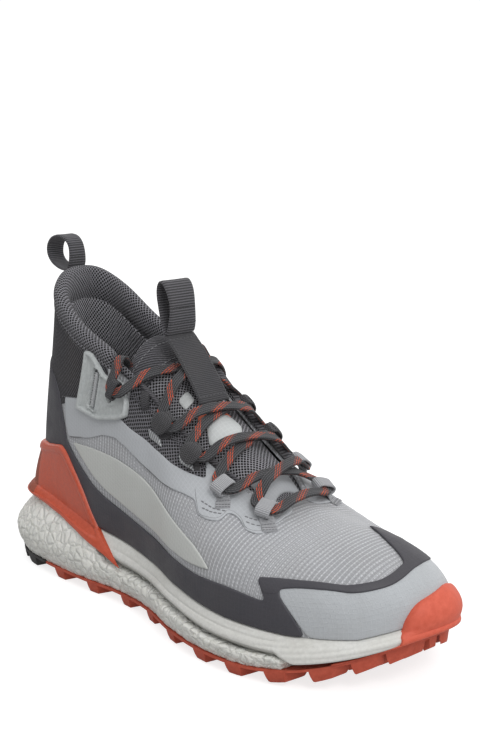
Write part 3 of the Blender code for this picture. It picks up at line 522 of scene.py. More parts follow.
def panel(name, segs, d0, d1, mats, nodes=(), slot=None, mode="girth", spacing=3.2, edge=(.3, .8), shape=None, mirror=False,
          step=1.6, soften=4, angle=50., body="boot", pick=None, keep_outline=None, straight=False, place=None):
    """sheet lying on the boot's side inside an outline of (station, height) points, with a rolled edge"""
    Q = keep_outline if keep_outline is not None else outline(segs, step, soften, straight)
    S = np.array([28., 100.])
    for attempt in range(9):
        # a tight corner can fold the inner ring over itself: take a narrower, smoother ring
        rings = [Q, inset(Q, edge[0] * .82 ** attempt), inset(Q, edge[1] * .82 ** attempt)]
        for k in (1, 2):
            for _ in range(k + attempt):
                rings[k] = (np.roll(rings[k], 1, 0) + 3 * rings[k] + np.roll(rings[k], -1, 0)) / 5
        R = rings[2] * S
        lo, hi = R.min(0), R.max(0)
        gx, gy = np.arange(lo[0], hi[0], spacing), np.arange(lo[1], hi[1], spacing * .87)
        X, Y = np.meshgrid(gx, gy)
        X = X + (np.arange(len(gy)) % 2)[:, None] * spacing / 2
        C = np.column_stack([X.ravel(), Y.ravel()])
        C = C[inside(C, R)]
        if len(C):
            dd = np.min(np.linalg.norm(C[:, None] - R[None], axis=2), 1)
            C = C[dd > spacing * .55]
        pts = np.concatenate([R, C]) if len(C) else R
        res = delaunay_2d_cdt([Vector(p) for p in pts], [], [list(range(len(R)))], 1, 1e-5)
        vv, tri, orig = res[0], res[2], res[3]
        if all(orig) and len(vv) == len(pts):
            break
    back, extra = {}, []
    for i, o in enumerate(orig):
        if o:
            back[i] = o[0]
        else:
            back[i] = len(pts) + len(extra)
            extra.append(list(vv[i]))
    if extra:
        print("panel", name, "has", len(extra), "crossings in its inner ring")
        C = np.concatenate([C.reshape(-1, 2), np.array(extra)])
    n = len(Q)
    H = [d0 + (d1 - d0) * .45, d0 + (d1 - d0) * .9, d1]
    tu, dt = [], []
    for r, h in zip(rings, H):
        tu.append(r)
        dt.append(np.full(n, h))
    if len(C):
        tu.append(C / S)
        dt.append(np.full(len(C), d1))
    tu, dt = np.concatenate(tu), np.concatenate(dt)
    if shape is not None:
        k = np.concatenate([np.zeros(n), np.full(n, .5), np.ones(n), np.ones(len(C))])
        dt = dt + k * shape(tu[:, 0], tu[:, 1])
    top = lift(tu[:, 0], tu[:, 1], dt) if place is None else place(tu[:, 0], tu[:, 1], dt, np.concatenate([np.zeros(n), np.full(n, .35), np.full(n, .8), np.ones(len(C))]))
    bot = lift(tu[:, 0], tu[:, 1], np.full(len(tu), d0))
    m = len(tu)
    F = []
    for r in range(2):
        for i in range(n):
            j = (i + 1) % n
            F.append((r * n + i, r * n + j, (r + 1) * n + j, (r + 1) * n + i))
    for f in tri:
        F.append(tuple(2 * n + back[x] for x in f))
    nf = len(F)
    F += [tuple(m + x for x in f[::-1]) for f in F[:nf]]
    for i in range(n):
        j = (i + 1) % n
        F.append((i, m + i, m + j, j))
    V = np.concatenate([top, bot])
    TU = np.concatenate([tu, tu])
    if mirror:
        V2 = None
    uv = chart(TU[:, 0], TU[:, 1], V, mode)
    mi = None
    if pick is not None:
        cen = np.array([TU[list(f)].mean(0) for f in F])
        mi = pick(cen[:, 0], cen[:, 1])
    return make(name, V, F, mats, nodes, uv, body, angle, mi)


def mirrored(segs):
    return [[(26 - a, b) for a, b in s][::-1] for s in segs][::-1]


def both(name, segs, d0, d1, mats, node=None, **kw):
    """the same panel on the outer and the inner side"""
    for sfx in ("outer", "inner"):
        s = segs if sfx == "outer" else mirrored(segs)
        panel(name + "_" + sfx, s, d0, d1, mats, nodes=(node + "_" + sfx,) if node else (),
              slot=kw.get("slot", (node or name) + "_" + sfx), **{k: v for k, v in kw.items() if k != "slot"})


def tube(P, W, N, sec, closed=False, cap=True):
    """section points (across, up) swept along P; returns points and faces"""
    n, k = len(P), len(sec)
    sec = np.asarray(sec, float)
    if sec.ndim == 2:
        sec = np.broadcast_to(sec[None], (n, k, 2))
    else:
        k = sec.shape[1]
    V = P[:, None] + W[:, None] * sec[..., 0:1] + N[:, None] * sec[..., 1:2]
    F = []
    for i in range(n if closed else n - 1):
        j = (i + 1) % n
        for q in range(k):
            r = (q + 1) % k
            F.append((i * k + q, i * k + r, j * k + r, j * k + q))
    if not closed and cap:
        F.append(tuple(range(k))[::-1])
        F.append(tuple((n - 1) * k + q for q in range(k)))
    return V.reshape(-1, 3), F


def rounded(w, h, k=4, p=.5):
    """rounded rectangular section, w across and h up"""
    r = min(w, h) * p
    out = []
    for cx, cy, a0 in ((w / 2 - r, h / 2 - r, 0), (-w / 2 + r, h / 2 - r, 90), (-w / 2 + r, -h / 2 + r, 180), (w / 2 - r, -h / 2 + r, 270)):
        for q in range(k + 1):
            a = math.radians(a0 + 90 * q / k)
            out.append((cx + r * math.cos(a), cy + r * math.sin(a)))
    out = np.array(out)
    keep = np.linalg.norm(out - np.roll(out, 1, 0), axis=1) > 1e-5
    return out[keep]


def bead(name, Q, w, h, d, mats, closed=False, sink=.25, body="boot", step=1.2, build=True):
    """raised line on the side along (station, height) points"""
    R = curve(Q, step, closed)
    t, u = R[:, 0], R[:, 1]
    P = lift(t, u, np.full(len(R), d))
    n = unit(lift(t, u, np.full(len(R), d + 1.)) - P)
    T = unit(np.roll(P, -1, 0) - np.roll(P, 1, 0)) if closed else unit(np.gradient(P, axis=0))
    W = unit(np.cross(T, n))
    sec = [(-w / 2, -sink), (-w / 2, 0), (-w * .36, h * .66), (-w * .14, h * .96), (w * .14, h * .96), (w * .36, h * .66), (w / 2, 0), (w / 2, -sink)]
    V, F = tube(P, W, n, sec, closed)
    s = np.concatenate([[0], np.cumsum(np.linalg.norm(np.diff(P, axis=0), axis=1))])
    uv = np.column_stack([np.repeat(s, 8), np.tile(np.arange(8.), len(P))])
    if not build:
        return V, F, uv
    return make(name, V, F, mats, (), uv, body, 60)


def stitch_rows(P, N, S, length, width, high):
    """stitches as small closed pads: centres P, normals N, directions S"""
    P, N, S = np.asarray(P), unit(N), unit(S)
    W = unit(np.cross(N, S))
    V, F = [], []
    prof = [(-.5, .25), (-.32, .8), (0, 1.), (.32, .8), (.5, .25)]
    ring = [(-.5, -.5), (-.5, .15), (0, .5), (.5, .15), (.5, -.5)]
    for p, n, s, w in zip(P, N, S, W):
        b = len(V)
        for a, k in prof:
            for x, y in ring:
                V.append(p + s * a * length + w * x * width * (.55 + .45 * k) + n * (y * high * k + (high * .2 if y > 0 else -.12)))
        m = len(ring)
        for i in range(len(prof) - 1):
            for q in range(m):
                r = (q + 1) % m
                F.append((b + i * m + q, b + i * m + r, b + (i + 1) * m + r, b + (i + 1) * m + q))
        F.append(tuple(b + q for q in range(m))[::-1])
        F.append(tuple(b + (len(prof) - 1) * m + q for q in range(m)))
    return V, F


def stitches(name, lines, mats, pitch=2.6, length=1.9, width=.62, high=.42, body="boot"):
    """rows of stitches; each line is (points of (station, height), lift)"""
    VV, FF, k = [], [], 0
    for Q, d in lines:
        R = curve(Q, pitch)
        t, u = R[:, 0], R[:, 1]
        dd = np.full(len(R), d) if np.isscalar(d) else np.asarray(d)
        P = lift(t, u, dd)
        n = unit(lift(t, u, dd + 1.) - P)
        V, F = stitch_rows(P, n, np.gradient(P, axis=0), length, width, high)
        VV += V
        FF += [tuple(x + k for x in f) for f in F]
        k = len(VV)
    return make(name, VV, FF, mats, (), None, body, 60)


def stitches_on(name, rows, mats, length=1.9, width=.62, high=.42, body="boot"):
    """stitches from ready points, normals and directions"""
    VV, FF, k = [], [], 0
    for P, N, S in rows:
        V, F = stitch_rows(P, N, S, length, width, high)
        VV += V
        FF += [tuple(x + k for x in f) for f in F]
        k = len(VV)
    return make(name, VV, FF, mats, (), None, body, 60)


def puff(ob, cap, pressure=3., frames=20, hold=None):
    """cloth simulation of a padded piece, applied to its mesh; a point moves at most cap millimetres"""
    co = np.zeros(len(ob.data.vertices) * 3)
    ob.data.vertices.foreach_get("co", co)
    rest = co.reshape(-1, 3).copy()
    tmp = bpy.data.objects.new(ob.name + "_sim", ob.data.copy())
    bpy.context.scene.collection.objects.link(tmp)
    g = tmp.vertex_groups.new(name="hold")
    if hold is not None:
        g.add([int(i) for i in np.nonzero(hold)[0]], 1.0, "REPLACE")
    c = tmp.modifiers.new("Cloth", "CLOTH")
    s = c.settings
    s.quality = 6
    s.mass = .2
    s.tension_stiffness = s.compression_stiffness = s.shear_stiffness = 12
    s.bending_stiffness = .4
    s.use_pressure = True
    s.uniform_pressure_force = pressure
    s.effector_weights.gravity = 0
    if hold is not None:
        s.vertex_group_mass = "hold"
    c.collision_settings.use_collision = False
    c.point_cache.frame_start, c.point_cache.frame_end = 1, frames
    sc = bpy.context.scene
    for f in range(1, frames + 1):
        sc.frame_set(f)
    e = tmp.evaluated_get(bpy.context.evaluated_depsgraph_get())
    q = np.zeros(len(rest) * 3)
    e.data.vertices.foreach_get("co", q)
    q = q.reshape(-1, 3)
    d = q - rest
    L = np.linalg.norm(d, axis=1)[:, None]
    lim = cap / 1000.
    d = d * (lim * np.tanh(L / lim) / np.maximum(L, 1e-12))
    d[~np.isfinite(d).all(1)] = 0
    ob.data.vertices.foreach_set("co", (rest + d).ravel())
    ob.data.update()
    sc.frame_set(1)
    me = tmp.data
    bpy.data.objects.remove(tmp, do_unlink=True)
    bpy.data.meshes.remove(me)
    print("cloth", ob.name, "moved up to %.2f mm" % (float(L.max()) * 1000))


# ---------------------------------------------------------------- materials
def lin(c):
    """colour given as 0-255 display values, in linear light"""
    return tuple((x / 255 / 12.92) if x / 255 <= .04045 else ((x / 255 + .055) / 1.055) ** 2.4 for x in c) + (1.,)


class Mat:
    """a Principled material with its own nodes; lengths are millimetres"""

    def __init__(s, name, rough=.7, spec=.4, sheen=0., coat=0.):
        s.m = bpy.data.materials.new(name)
        s.m.use_nodes = True
        s.t = s.m.node_tree
        s.b = s.t.nodes["Principled BSDF"]
        s.b.inputs["Roughness"].default_value = rough
        s.b.inputs["Specular IOR Level"].default_value = spec
        if sheen:
            s.b.inputs["Sheen Weight"].default_value = sheen
            s.b.inputs["Sheen Roughness"].default_value = .6
        if coat:
            s.b.inputs["Coat Weight"].default_value = coat
            s.b.inputs["Coat Roughness"].default_value = .35
        s.h = None
        s.c = s.t.nodes.new("ShaderNodeTexCoord")
        s.uv = s.c.outputs["UV"]
        k = s.t.nodes.new("ShaderNodeVectorMath")
        k.operation = "SCALE"
        k.inputs["Scale"].default_value = 1000.
        s.t.links.new(s.c.outputs["Object"], k.inputs[0])
        s.obj = k.outputs[0]

    def put(s, sock, v):
        if isinstance(v, bpy.types.NodeSocket):
            s.t.links.new(v, sock)
        else:
            sock.default_value = v

    def math(s, op, a, b=0., c=None, clamp=False):
        n = s.t.nodes.new("ShaderNodeMath")
        n.operation = op
        n.use_clamp = clamp
        s.put(n.inputs[0], a)
        s.put(n.inputs[1], b)
        if c is not None:
            s.put(n.inputs[2], c)
        return n.outputs[0]

    def xy(s, v=None):
        n = s.t.nodes.new("ShaderNodeSeparateXYZ")
        s.t.links.new(v or s.uv, n.inputs[0])
        return n.outputs[0], n.outputs[1], n.outputs[2]

    def mix(s, f, a, b, mode="MIX"):
        n = s.t.nodes.new("ShaderNodeMix")
        n.data_type = "RGBA"
        n.blend_type = mode
        s.put(n.inputs[0], f)
        s.put(n.inputs[6], a)
        s.put(n.inputs[7], b)
        return n.outputs[2]

    def range(s, v, a, b, c=0., d=1.):
        n = s.t.nodes.new("ShaderNodeMapRange")
        s.put(n.inputs[0], v)
        for i, x in enumerate((a, b, c, d)):
            s.put(n.inputs[i + 1], x)
        return n.outputs[0]

    def noise(s, v, scale, detail=2., rough=.5, dist=0.):
        n = s.t.nodes.new("ShaderNodeTexNoise")
        s.t.links.new(v, n.inputs["Vector"])
        n.inputs["Scale"].default_value = scale
        n.inputs["Detail"].default_value = detail
        n.inputs["Roughness"].default_value = rough
        n.inputs["Distortion"].default_value = dist
        return n.outputs[0]

    def voro(s, v, scale, feature="F1", out="Distance", rand=1.):
        n = s.t.nodes.new("ShaderNodeTexVoronoi")
        n.feature = feature
        s.t.links.new(v, n.inputs["Vector"])
        n.inputs["Scale"].default_value = scale
        n.inputs["Randomness"].default_value = rand
        return n.outputs[out]

    def warp(s, v, scale, amount):
        """coordinates moved about a little, for slightly uneven threads"""
        n = s.t.nodes.new("ShaderNodeTexNoise")
        s.t.links.new(v, n.inputs["Vector"])
        n.inputs["Scale"].default_value = scale
        n.inputs["Detail"].default_value = 1.
        a = s.t.nodes.new("ShaderNodeVectorMath")
        a.operation = "SUBTRACT"
        s.t.links.new(n.outputs["Color"], a.inputs[0])
        a.inputs[1].default_value = (.5, .5, .5)
        b = s.t.nodes.new("ShaderNodeVectorMath")
        b.operation = "SCALE"
        s.t.links.new(a.outputs[0], b.inputs[0])
        b.inputs["Scale"].default_value = amount
        c = s.t.nodes.new("ShaderNodeVectorMath")
        c.operation = "ADD"
        s.t.links.new(v, c.inputs[0])
        s.t.links.new(b.outputs[0], c.inputs[1])
        return c.outputs[0]

    def wave(s, x, pitch, phase=0.):
        """0..1 cosine wave"""
        q = s.math("MULTIPLY_ADD", x, 2 * math.pi / pitch, phase)
        return s.math("MULTIPLY_ADD", s.math("COSINE", q), .5, .5)

    def lines(s, x, pitch, width, phase=0.):
        """soft lines of a given width every pitch: 1 on the line"""
        w = s.wave(x, pitch, phase)
        edge = .5 + .5 * math.cos(math.pi * min(width / pitch, .95))
        return s.range(w, edge, min(.999, edge + (1 - edge) * .6))

    def bump(s, h, dist, strength=1.):
        n = s.t.nodes.new("ShaderNodeBump")
        n.inputs["Distance"].default_value = dist / 1000.
        n.inputs["Strength"].default_value = strength
        s.t.links.new(h, n.inputs["Height"])
        if s.h is not None:
            s.t.links.new(s.h, n.inputs["Normal"])
        s.h = n.outputs[0]
        return s

    def done(s, colour, rough=None):
        s.put(s.b.inputs["Base Color"], colour)
        if rough is not None:
            s.put(s.b.inputs["Roughness"], rough)
        if s.h is not None:
            s.t.links.new(s.h, s.b.inputs["Normal"])
        return s.m


def add(m, *v):
    r = v[0]
    for x in v[1:]:
        r = m.math("ADD", r, x)
    return r


def mul(m, a, b):
    return m.math("MULTIPLY", a, b)


def soil(m, c, amount=.12, scale=.035, tint=(120, 112, 100)):
    """broad uneven tone, as on a worn cloth"""
    f = m.range(m.noise(m.obj, scale, 4., .6), .35, .75, 0., amount)
    return m.mix(f, c, lin(tint))


def ripstop(name, base, line, deep, rib=4.7, cell=2.25, ribs=True, rough=.62):
    m = Mat(name, rough, .35, .25)
    v = m.warp(m.uv, .12, .5)
    x, y, _ = m.xy(v)
    g1, g2 = m.lines(x, cell, .42), m.lines(y, cell, .42)
    grid = m.math("MAXIMUM", g1, mul(m, g2, .45 if ribs else 1.))
    w = mul(m, m.wave(x, .62), m.wave(y, .62))
    n = m.noise(m.uv, 1.6, 3., .6)
    fine = m.range(add(m, mul(m, w, .7), mul(m, n, .6)), .3, 1.0)
    c = m.mix(fine, lin(deep), lin(base))
    c = m.mix(mul(m, grid, .55), c, lin(line))
    h = add(m, mul(m, w, .35), mul(m, grid, .8))
    if ribs:
        r = m.lines(x, rib, .8)
        br = mul(m, m.range(m.noise(m.uv, .5, 2., .5), .38, .62, .45, 1.), m.range(m.wave(add(m, y, mul(m, m.math("ROUND", m.math("DIVIDE", x, rib)), .9)), 1.9), .2, .7, .25, 1.))
        c = m.mix(mul(m, mul(m, r, br), .75), c, lin(tuple(min(255, q + 16) for q in line)))
        h = add(m, h, mul(m, mul(m, r, br), 1.3))
    m.bump(m.noise(m.obj, .09, 3., .5), .9, .5)
    m.bump(h, .16, .8)
    return m.done(soil(m, c, .14), m.range(n, .3, .7, rough - .08, rough + .1))


def spacer(name, thread, hole, pitch=1.9, rough=.85, diag=True, amount=.8):
    """knitted spacer mesh: light threads round dark holes in slanting rows"""
    m = Mat(name, rough, .18, .1)
    v = m.warp(m.uv, .25, .35)
    x, y, _ = m.xy(v)
    if diag:
        a, b = add(m, x, y), m.math("SUBTRACT", x, y)
        a, b = mul(m, a, .7071), mul(m, b, .7071)
    else:
        a, b = x, y
    h = mul(m, m.wave(a, pitch), m.wave(b, pitch * .82))
    hole_f = m.range(h, .06, .24)
    knit = m.wave(add(m, a, mul(m, b, .35)), .55)
    n = m.noise(m.uv, 1.1, 3., .6)
    c = m.mix(mul(m, knit, .45), lin(thread), lin(tuple(q * .72 for q in thread)))
    c = m.mix(m.range(n, .45, .8, 0., .35), c, lin(tuple(min(255, q * 1.45) for q in thread)))
    c = m.mix(mul(m, hole_f, amount), c, lin(hole))
    m.bump(m.noise(m.obj, .12, 2., .5), .8, .4)
    m.bump(m.math("SUBTRACT", mul(m, knit, .3), hole_f), .4, .9)
    return m.done(soil(m, c, .08, .05, (110, 106, 100)))


def twill(name, a, b, pitch=1.15, rough=.75):
    m = Mat(name, rough, .16, .04)
    v = m.warp(m.uv, .3, .25)
    x, y, _ = m.xy(v)
    d = m.wave(add(m, mul(m, x, .8), y), pitch)
    q = m.wave(x, .7)
    n = m.noise(m.uv, .9, 3., .6)
    c = m.mix(m.range(add(m, mul(m, d, .6), mul(m, n, .7)), .45, 1.1), lin(a), lin(b))
    m.bump(m.noise(m.obj, .1, 3., .5), .8, .4)
    m.bump(add(m, d, mul(m, q, .4)), .18, .8)
    return m.done(soil(m, c, .1))


def film(name, base, rough=.5, grain=.5, spot=None, coat=0., soil_=.12):
    """thin welded film, faintly grained, with the cloth's relief showing through"""
    m = Mat(name, rough, .42, 0., coat)
    n = m.noise(m.uv, 1.3, 3., .65)
    g = m.voro(m.uv, 1.5, "F1")
    x, y, _ = m.xy(m.warp(m.uv, .1, .6))
    tel = m.math("MAXIMUM", m.lines(x, 2.25, .5), m.lines(y, 2.25, .5))
    c = m.mix(m.range(n, .35, .75, 0., .5), lin(base), lin(spot or tuple(min(255, q * 1.16) for q in base)))
    c = m.mix(mul(m, tel, .10), c, lin(tuple(min(255, q * 1.3) for q in base)))
    big = m.noise(m.obj, .07, 4., .6)
    m.bump(big, 1.1, .45)
    m.bump(tel, .06, .6)
    m.bump(add(m, n, mul(m, g, .4)), .09 * grain * 2, .8)
    return m.done(soil(m, c, soil_, .05, (128, 122, 114)), m.range(big, .3, .7, rough - .08, rough + .12))


def webbing(name, a, b, pitch=1.25, across=2.1, rough=.8, chev=.45):
    """ribbed narrow webbing; x runs along it"""
    m = Mat(name, rough, .2, .12)
    x, y, _ = m.xy(m.warp(m.uv, .4, .2))
    z = m.math("PINGPONG", y, across)
    r = m.wave(add(m, x, mul(m, z, chev)), pitch)
    n = m.noise(m.uv, 1.2, 3., .6)
    c = m.mix(m.range(add(m, mul(m, r, .7), mul(m, n, .5)), .3, 1.0), lin(a), lin(b))
    m.bump(r, .30, .9)
    m.bump(n, .12, .6)
    return m.done(soil(m, c, .08))


def laces(name):
    """flat braid: lengthwise cords with small slanting coloured flecks"""
    m = Mat(name, .82, .22, .12)
    x, y, _ = m.xy(m.uv)
    cord = m.wave(y, 1.15)
    br = m.wave(add(m, x, mul(m, m.math("PINGPONG", y, 1.15), 1.4)), 1.5)
    n = m.noise(m.uv, 1.4, 3., .6)
    c = m.mix(m.range(add(m, mul(m, cord, .55), mul(m, br, .3), mul(m, n, .4)), .3, 1.1), lin((36, 36, 38)), lin((94, 94, 97)))
    s = add(m, x, mul(m, y, 1.7))
    on = m.lines(s, 19., 8.)
    fleck = m.lines(s, 2.3, 1.35)
    odd = m.range(m.voro(m.uv, .5, "F1", "Distance"), .1, .7, .45, 1.)
    brk = m.range(cord, .0, .3, .25, 1.)
    c = m.mix(mul(m, mul(m, mul(m, on, fleck), odd), brk), c, lin((214, 90, 54)))
    m.bump(cord, .30, .9)
    m.bump(br, .18, .8)
    return m.done(c)


def thread(name, c, rough=.6):
    m = Mat(name, rough, .35, .3)
    n = m.noise(m.obj, 2.2, 2., .5)
    q = m.wave(m.xy(m.obj)[0], .45)
    m.bump(q, .08, .7)
    return m.done(m.mix(m.range(n, .3, .7), lin(tuple(x * .84 for x in c)), lin(c)))


def bead_foam(name):
    """expanded bead foam: pale irregular cells pressed together"""
    m = Mat(name, .42, .45)
    m.b.inputs["Subsurface Weight"].default_value = .12
    m.b.inputs["Subsurface Radius"].default_value = (.003, .003, .0025)
    v = m.warp(m.obj, .25, 1.6)
    d = m.voro(v, .19, "DISTANCE_TO_EDGE")
    k = m.voro(v, .19, "F1", "Color")
    f = m.voro(m.obj, .55, "DISTANCE_TO_EDGE")
    n = m.noise(m.obj, .8, 3., .55)
    x, _, _ = m.xy(k)
    c = m.mix(x, lin((222, 223, 218)), lin((236, 236, 231)))
    # painted shade: darker along the cell edges, in the crevices between the beads
    c = m.mix(m.range(d, .0, .10, .22, 0.), c, lin((190, 189, 182)))
    c = m.mix(m.range(n, .5, .8, 0., .16), c, lin((206, 204, 196)))
    m.bump(m.range(d, 0., .22, 0., 1.), .9, .8)
    m.bump(n, .35, .5)
    m.bump(m.range(f, 0., .08, 0., 1.), .12, .35)
    return m.done(soil(m, c, .14, .05, (196, 188, 172)), m.range(n, .3, .7, .34, .52))


def eva(name, c0, c1, shade=None):
    m = Mat(name, .62, .38)
    n = m.noise(m.obj, .6, 4., .6)
    f = m.noise(m.obj, 5., 2., .5)
    c = m.mix(m.range(n, .35, .7), lin(c0), lin(c1))
    if shade:
        # painted shade: the colour darkens towards the rim's lower edge along the groove, where the rim overhangs the
        # foam
        x, y, _ = m.xy()
        k = mul(m, x, m.range(add(m, y, m.math("MULTIPLY_ADD", n, .06, -.03)), .03, .32, .95, 0.))
        c = m.mix(k, c, lin(shade))
    m.bump(m.noise(m.obj, .12, 3., .5), .8, .35)
    m.bump(f, .07, .6)
    return m.done(soil(m, c, .2, .06, (170, 164, 152)), m.range(n, .3, .7, .54, .72))


def rubber(name, c0, c1, rough=.6, dust=.16, tint=(200, 170, 150), grain=.1, spec=.42):
    m = Mat(name, rough, spec)
    n = m.noise(m.obj, .35, 4., .6)
    f = m.noise(m.obj, 3.2, 3., .55)
    c = m.mix(m.range(n, .35, .7), lin(c0), lin(c1))
    c = m.mix(m.range(f, .52, .75, 0., dust), c, lin(tint))
    m.bump(f, grain, .7)
    m.bump(m.noise(m.obj, .11, 2., .5), .6, .3)
    return m.done(c, m.range(n, .3, .7, rough - .08, rough + .1))


def plastic(name, c0, c1, rough=.38, spec=.5, grain=.05):
    m = Mat(name, rough, spec)
    n = m.noise(m.obj, .5, 3., .6)
    f = m.noise(m.obj, 6., 2., .5)
    c = m.mix(m.range(n, .35, .7), lin(c0), lin(c1))
    m.bump(f, grain, .6)
    m.bump(m.noise(m.obj, .15, 2., .5), .5, .3)
    return m.done(c, m.range(n, .3, .7, rough - .06, rough + .1))


def reflective(name, lo_=(104, 106, 110), hi_=(204, 206, 208)):
    m = Mat(name, .35, .6)
    m.b.inputs["Metallic"].default_value = .35
    x, y, _ = m.xy(m.uv)
    r = m.wave(x, 1.5)
    n = m.noise(m.uv, 2., 2., .5)
    c = m.mix(add(m, mul(m, r, .75), mul(m, n, .3)), lin(lo_), lin(hi_))
    m.bump(r, .2, .8)
    return m.done(c)


RIP_BASE = ripstop("ripstop_grey", (172, 174, 178), (206, 208, 212), (142, 143, 147), rib=2.35)
RIP_SIDE = ripstop("ripstop_side", (150, 151, 152), (182, 184, 186), (112, 112, 114), rib=2.35)
RIP_TOE = ripstop("ripstop_toe", (184, 188, 192), (188, 192, 196), (176, 180, 184), ribs=False, rough=.5)
MESH_DARK = spacer("spacer_mesh_dark", (134, 133, 139), (8, 8, 10), 2.0, amount=1.)
MESH_STAY = spacer("spacer_mesh_eyestay", (122, 121, 127), (8, 8, 10), 1.8, amount=1.)
MESH_TONGUE = spacer("spacer_mesh_tongue", (154, 153, 159), (8, 8, 10), 1.8, amount=1.)
MESH_LINING = spacer("spacer_mesh_lining", (164, 163, 169), (10, 10, 12), 2.0, .9, amount=1.)
TWILL = twill("twill_dark", (8, 8, 10), (98, 97, 103), 2.1)
HEM = twill("hem_cloth", (48, 48, 52), (112, 111, 116), 1.8)
FILM_DARK = film("film_dark", (62, 61, 67), .52, spot=(70, 69, 75), soil_=.05)
FILM_GREY = film("film_grey", (174, 177, 181), .46, spot=(184, 187, 190), soil_=.07)
FILM_WHITE = film("film_white", (190, 193, 193), .45, spot=(200, 203, 203), soil_=.05)
FILM_SIDE = film("film_side_panel", (186, 188, 185), .36, spot=(196, 198, 195), coat=.15, soil_=.06)
WEB_DARK = webbing("webbing_dark", (44, 44, 47), (100, 99, 104), 1.45, 2.1, chev=0.)
WEB_GREY = webbing("webbing_grey", (142, 143, 147), (184, 185, 188), .85, 2.1, chev=0.)
WEB_STRAP = webbing("webbing_strap", (48, 48, 51), (74, 74, 78), 1.1, 3.1, chev=0.)
CORD = webbing("cord_dark", (34, 34, 37), (84, 84, 88), .9, 1.4)
LACE_M = laces("lace_braid")
THREAD_DARK = thread("thread_dark", (58, 57, 61))
THREAD_GREY = thread("thread_grey", (176, 178, 180))
THREAD_MID = thread("thread_mid", (120, 120, 124))
FOAM = bead_foam("bead_foam_white")
# painted shade: the rim's third colour darkens the groove under it
EVA = eva("eva_rim", (208, 208, 204), (221, 221, 217), (100, 100, 96))
RUBBER = rubber("rubber_orange", (204, 86, 62), (216, 100, 77), .56, .10, (226, 150, 128))
# painted shade: the outsole's orange is a darker copy of the bumper's rubber, standing in for the shade low on the boot
RUBBER_SOLE_SHADED = rubber("rubber_orange_sole_shaded", (178, 74, 52), (194, 88, 66), .6, .12, (206, 140, 120))
RUBBER_DARK = rubber("rubber_dark", (50, 49, 50), (74, 73, 73), .66, tint=(140, 134, 126))
CLIP = plastic("clip_orange", (188, 77, 49), (202, 88, 60), .36)
CLIP_IN = rubber("clip_rust_panel", (140, 66, 46), (162, 88, 68), .6, .3, (190, 140, 120), .16)
PLATE_M = plastic("moulded_plate", (172, 176, 176), (190, 194, 194), .36)
BOARD = eva("board_fibre", (196, 190, 170), (210, 205, 188))
STIFF = eva("stiffener_sheet", (176, 174, 166), (190, 188, 180))
REFLECT = reflective("reflective_silver")
REFLECT_W = reflective("reflective_white", (186, 188, 190), (232, 233, 232))
# painted shade: a darker plastic for the inside of the cord slot and the lace hole
PLATE_RECESS_SHADE = plastic("moulded_plate_recess_shade", (78, 80, 81), (100, 102, 103), .5)
ORANGE_T = film("film_orange", (222, 104, 70), .5)
AGLET = plastic("aglet_plastic", (214, 96, 60), (226, 112, 78), .3)
FOOTBED = spacer("footbed_knit", (70, 70, 74), (38, 38, 41), 1.5, .9, amount=.5)


# ---------------------------------------------------------------- upper, lining, collar
def vtop(t, low, high):
    return np.interp(fold(np.asarray(t, float)), [0, CORNER_T, CORNER_T + .35, 13], [low, low, high, high])


def ring_piece(name, ts, lo, hi, rows, dout, din, mat, nodes, mode, wrap=True):
    r = np.linspace(0, 1, rows)
    T = np.repeat(ts[:, None], rows, 1)
    U = lo[:, None] + (hi - lo)[:, None] * r[None]
    A = lift(T.ravel(), U.ravel(), dout(T.ravel() % 26, U.ravel())).reshape(len(ts), rows, 3)
    B = lift(T.ravel(), U.ravel(), din(T.ravel() % 26, U.ravel())).reshape(len(ts), rows, 3)
    V, F, _ = two_sided(A, B, wrap)
    uv = chart(np.tile(T.ravel(), 2), np.tile(U.ravel(), 2), V, mode)
    return make(name, V, F, mat, nodes, uv)


def sstep(x):
    x = np.clip(x, 0, 1)
    return x * x * (3 - 2 * x)


def flat_d(x):
    return lambda t, u: np.full(len(t), x)


ts = np.arange(0, 26, .1)


def cloth_relief(t, u):
    """slow puckers of the vamp cloth"""
    P = skirt(t, u)
    x = P[:, 0]
    f = np.clip((x - 175) / 25, 0, 1) * np.clip((u - .12) / .1, 0, 1) * np.clip((.97 - u) / .08, 0, 1)
    return .12 * np.sin(x * .9 + 2.0 * np.sin(P[:, 1] * .08)) * f


ring_piece("quarter_and_vamp", ts, np.full(len(ts), .002), vtop(ts, .926, .995), 46, cloth_relief, flat_d(-1.6),
           RIP_BASE, ["upper_shell"], "girth")
tl = np.arange(0, 26, .16)


def heel_pads(t, u):
    q = fold(t)
    pad = 3.2 * np.exp(-((q - 1.6) / 1.1) ** 2 - ((u - .70) / .12) ** 2)
    top = 1.4 * np.clip((u - .74) / .08, 0, 1) * (q < CORNER_T)
    return -6.4 - pad - top


ring_piece("lining_knit", tl, np.interp(fold(tl), [0, 9.5, 10.5, 13], [.12, .12, .17, .19]), vtop(tl, .862, .79), 26,
           flat_d(-4.6), heel_pads, MESH_LINING, ["lining"], "heel")

# padded collar
tc = np.linspace(-4.42, 4.42, 137)
SEC = [(.916, .15, 0), (.920, .6, 0), (.928, .95, 0), (.937, .9, 0), (.944, .5, 0), (.951, .95, 0), (.962, 1.25, 0), (.974, 1.4, 0), (.986, 1.35, 0),
       (.996, 1.1, 0), (1, .3, 1.1), (1, -1.1, 2.1), (1, -2.9, 2.5), (1, -4.8, 2.1), (1, -6.2, 1.0), (.99, -7.2, 0), (.965, -8.0, 0),
       (.935, -8.3, 0), (.905, -8.0, 0), (.88, -7.3, 0), (.86, -6.5, 0), (.845, -5.6, 0), (.86, -3.6, 0), (.895, -1.9, 0)]
SEC = np.array(SEC)


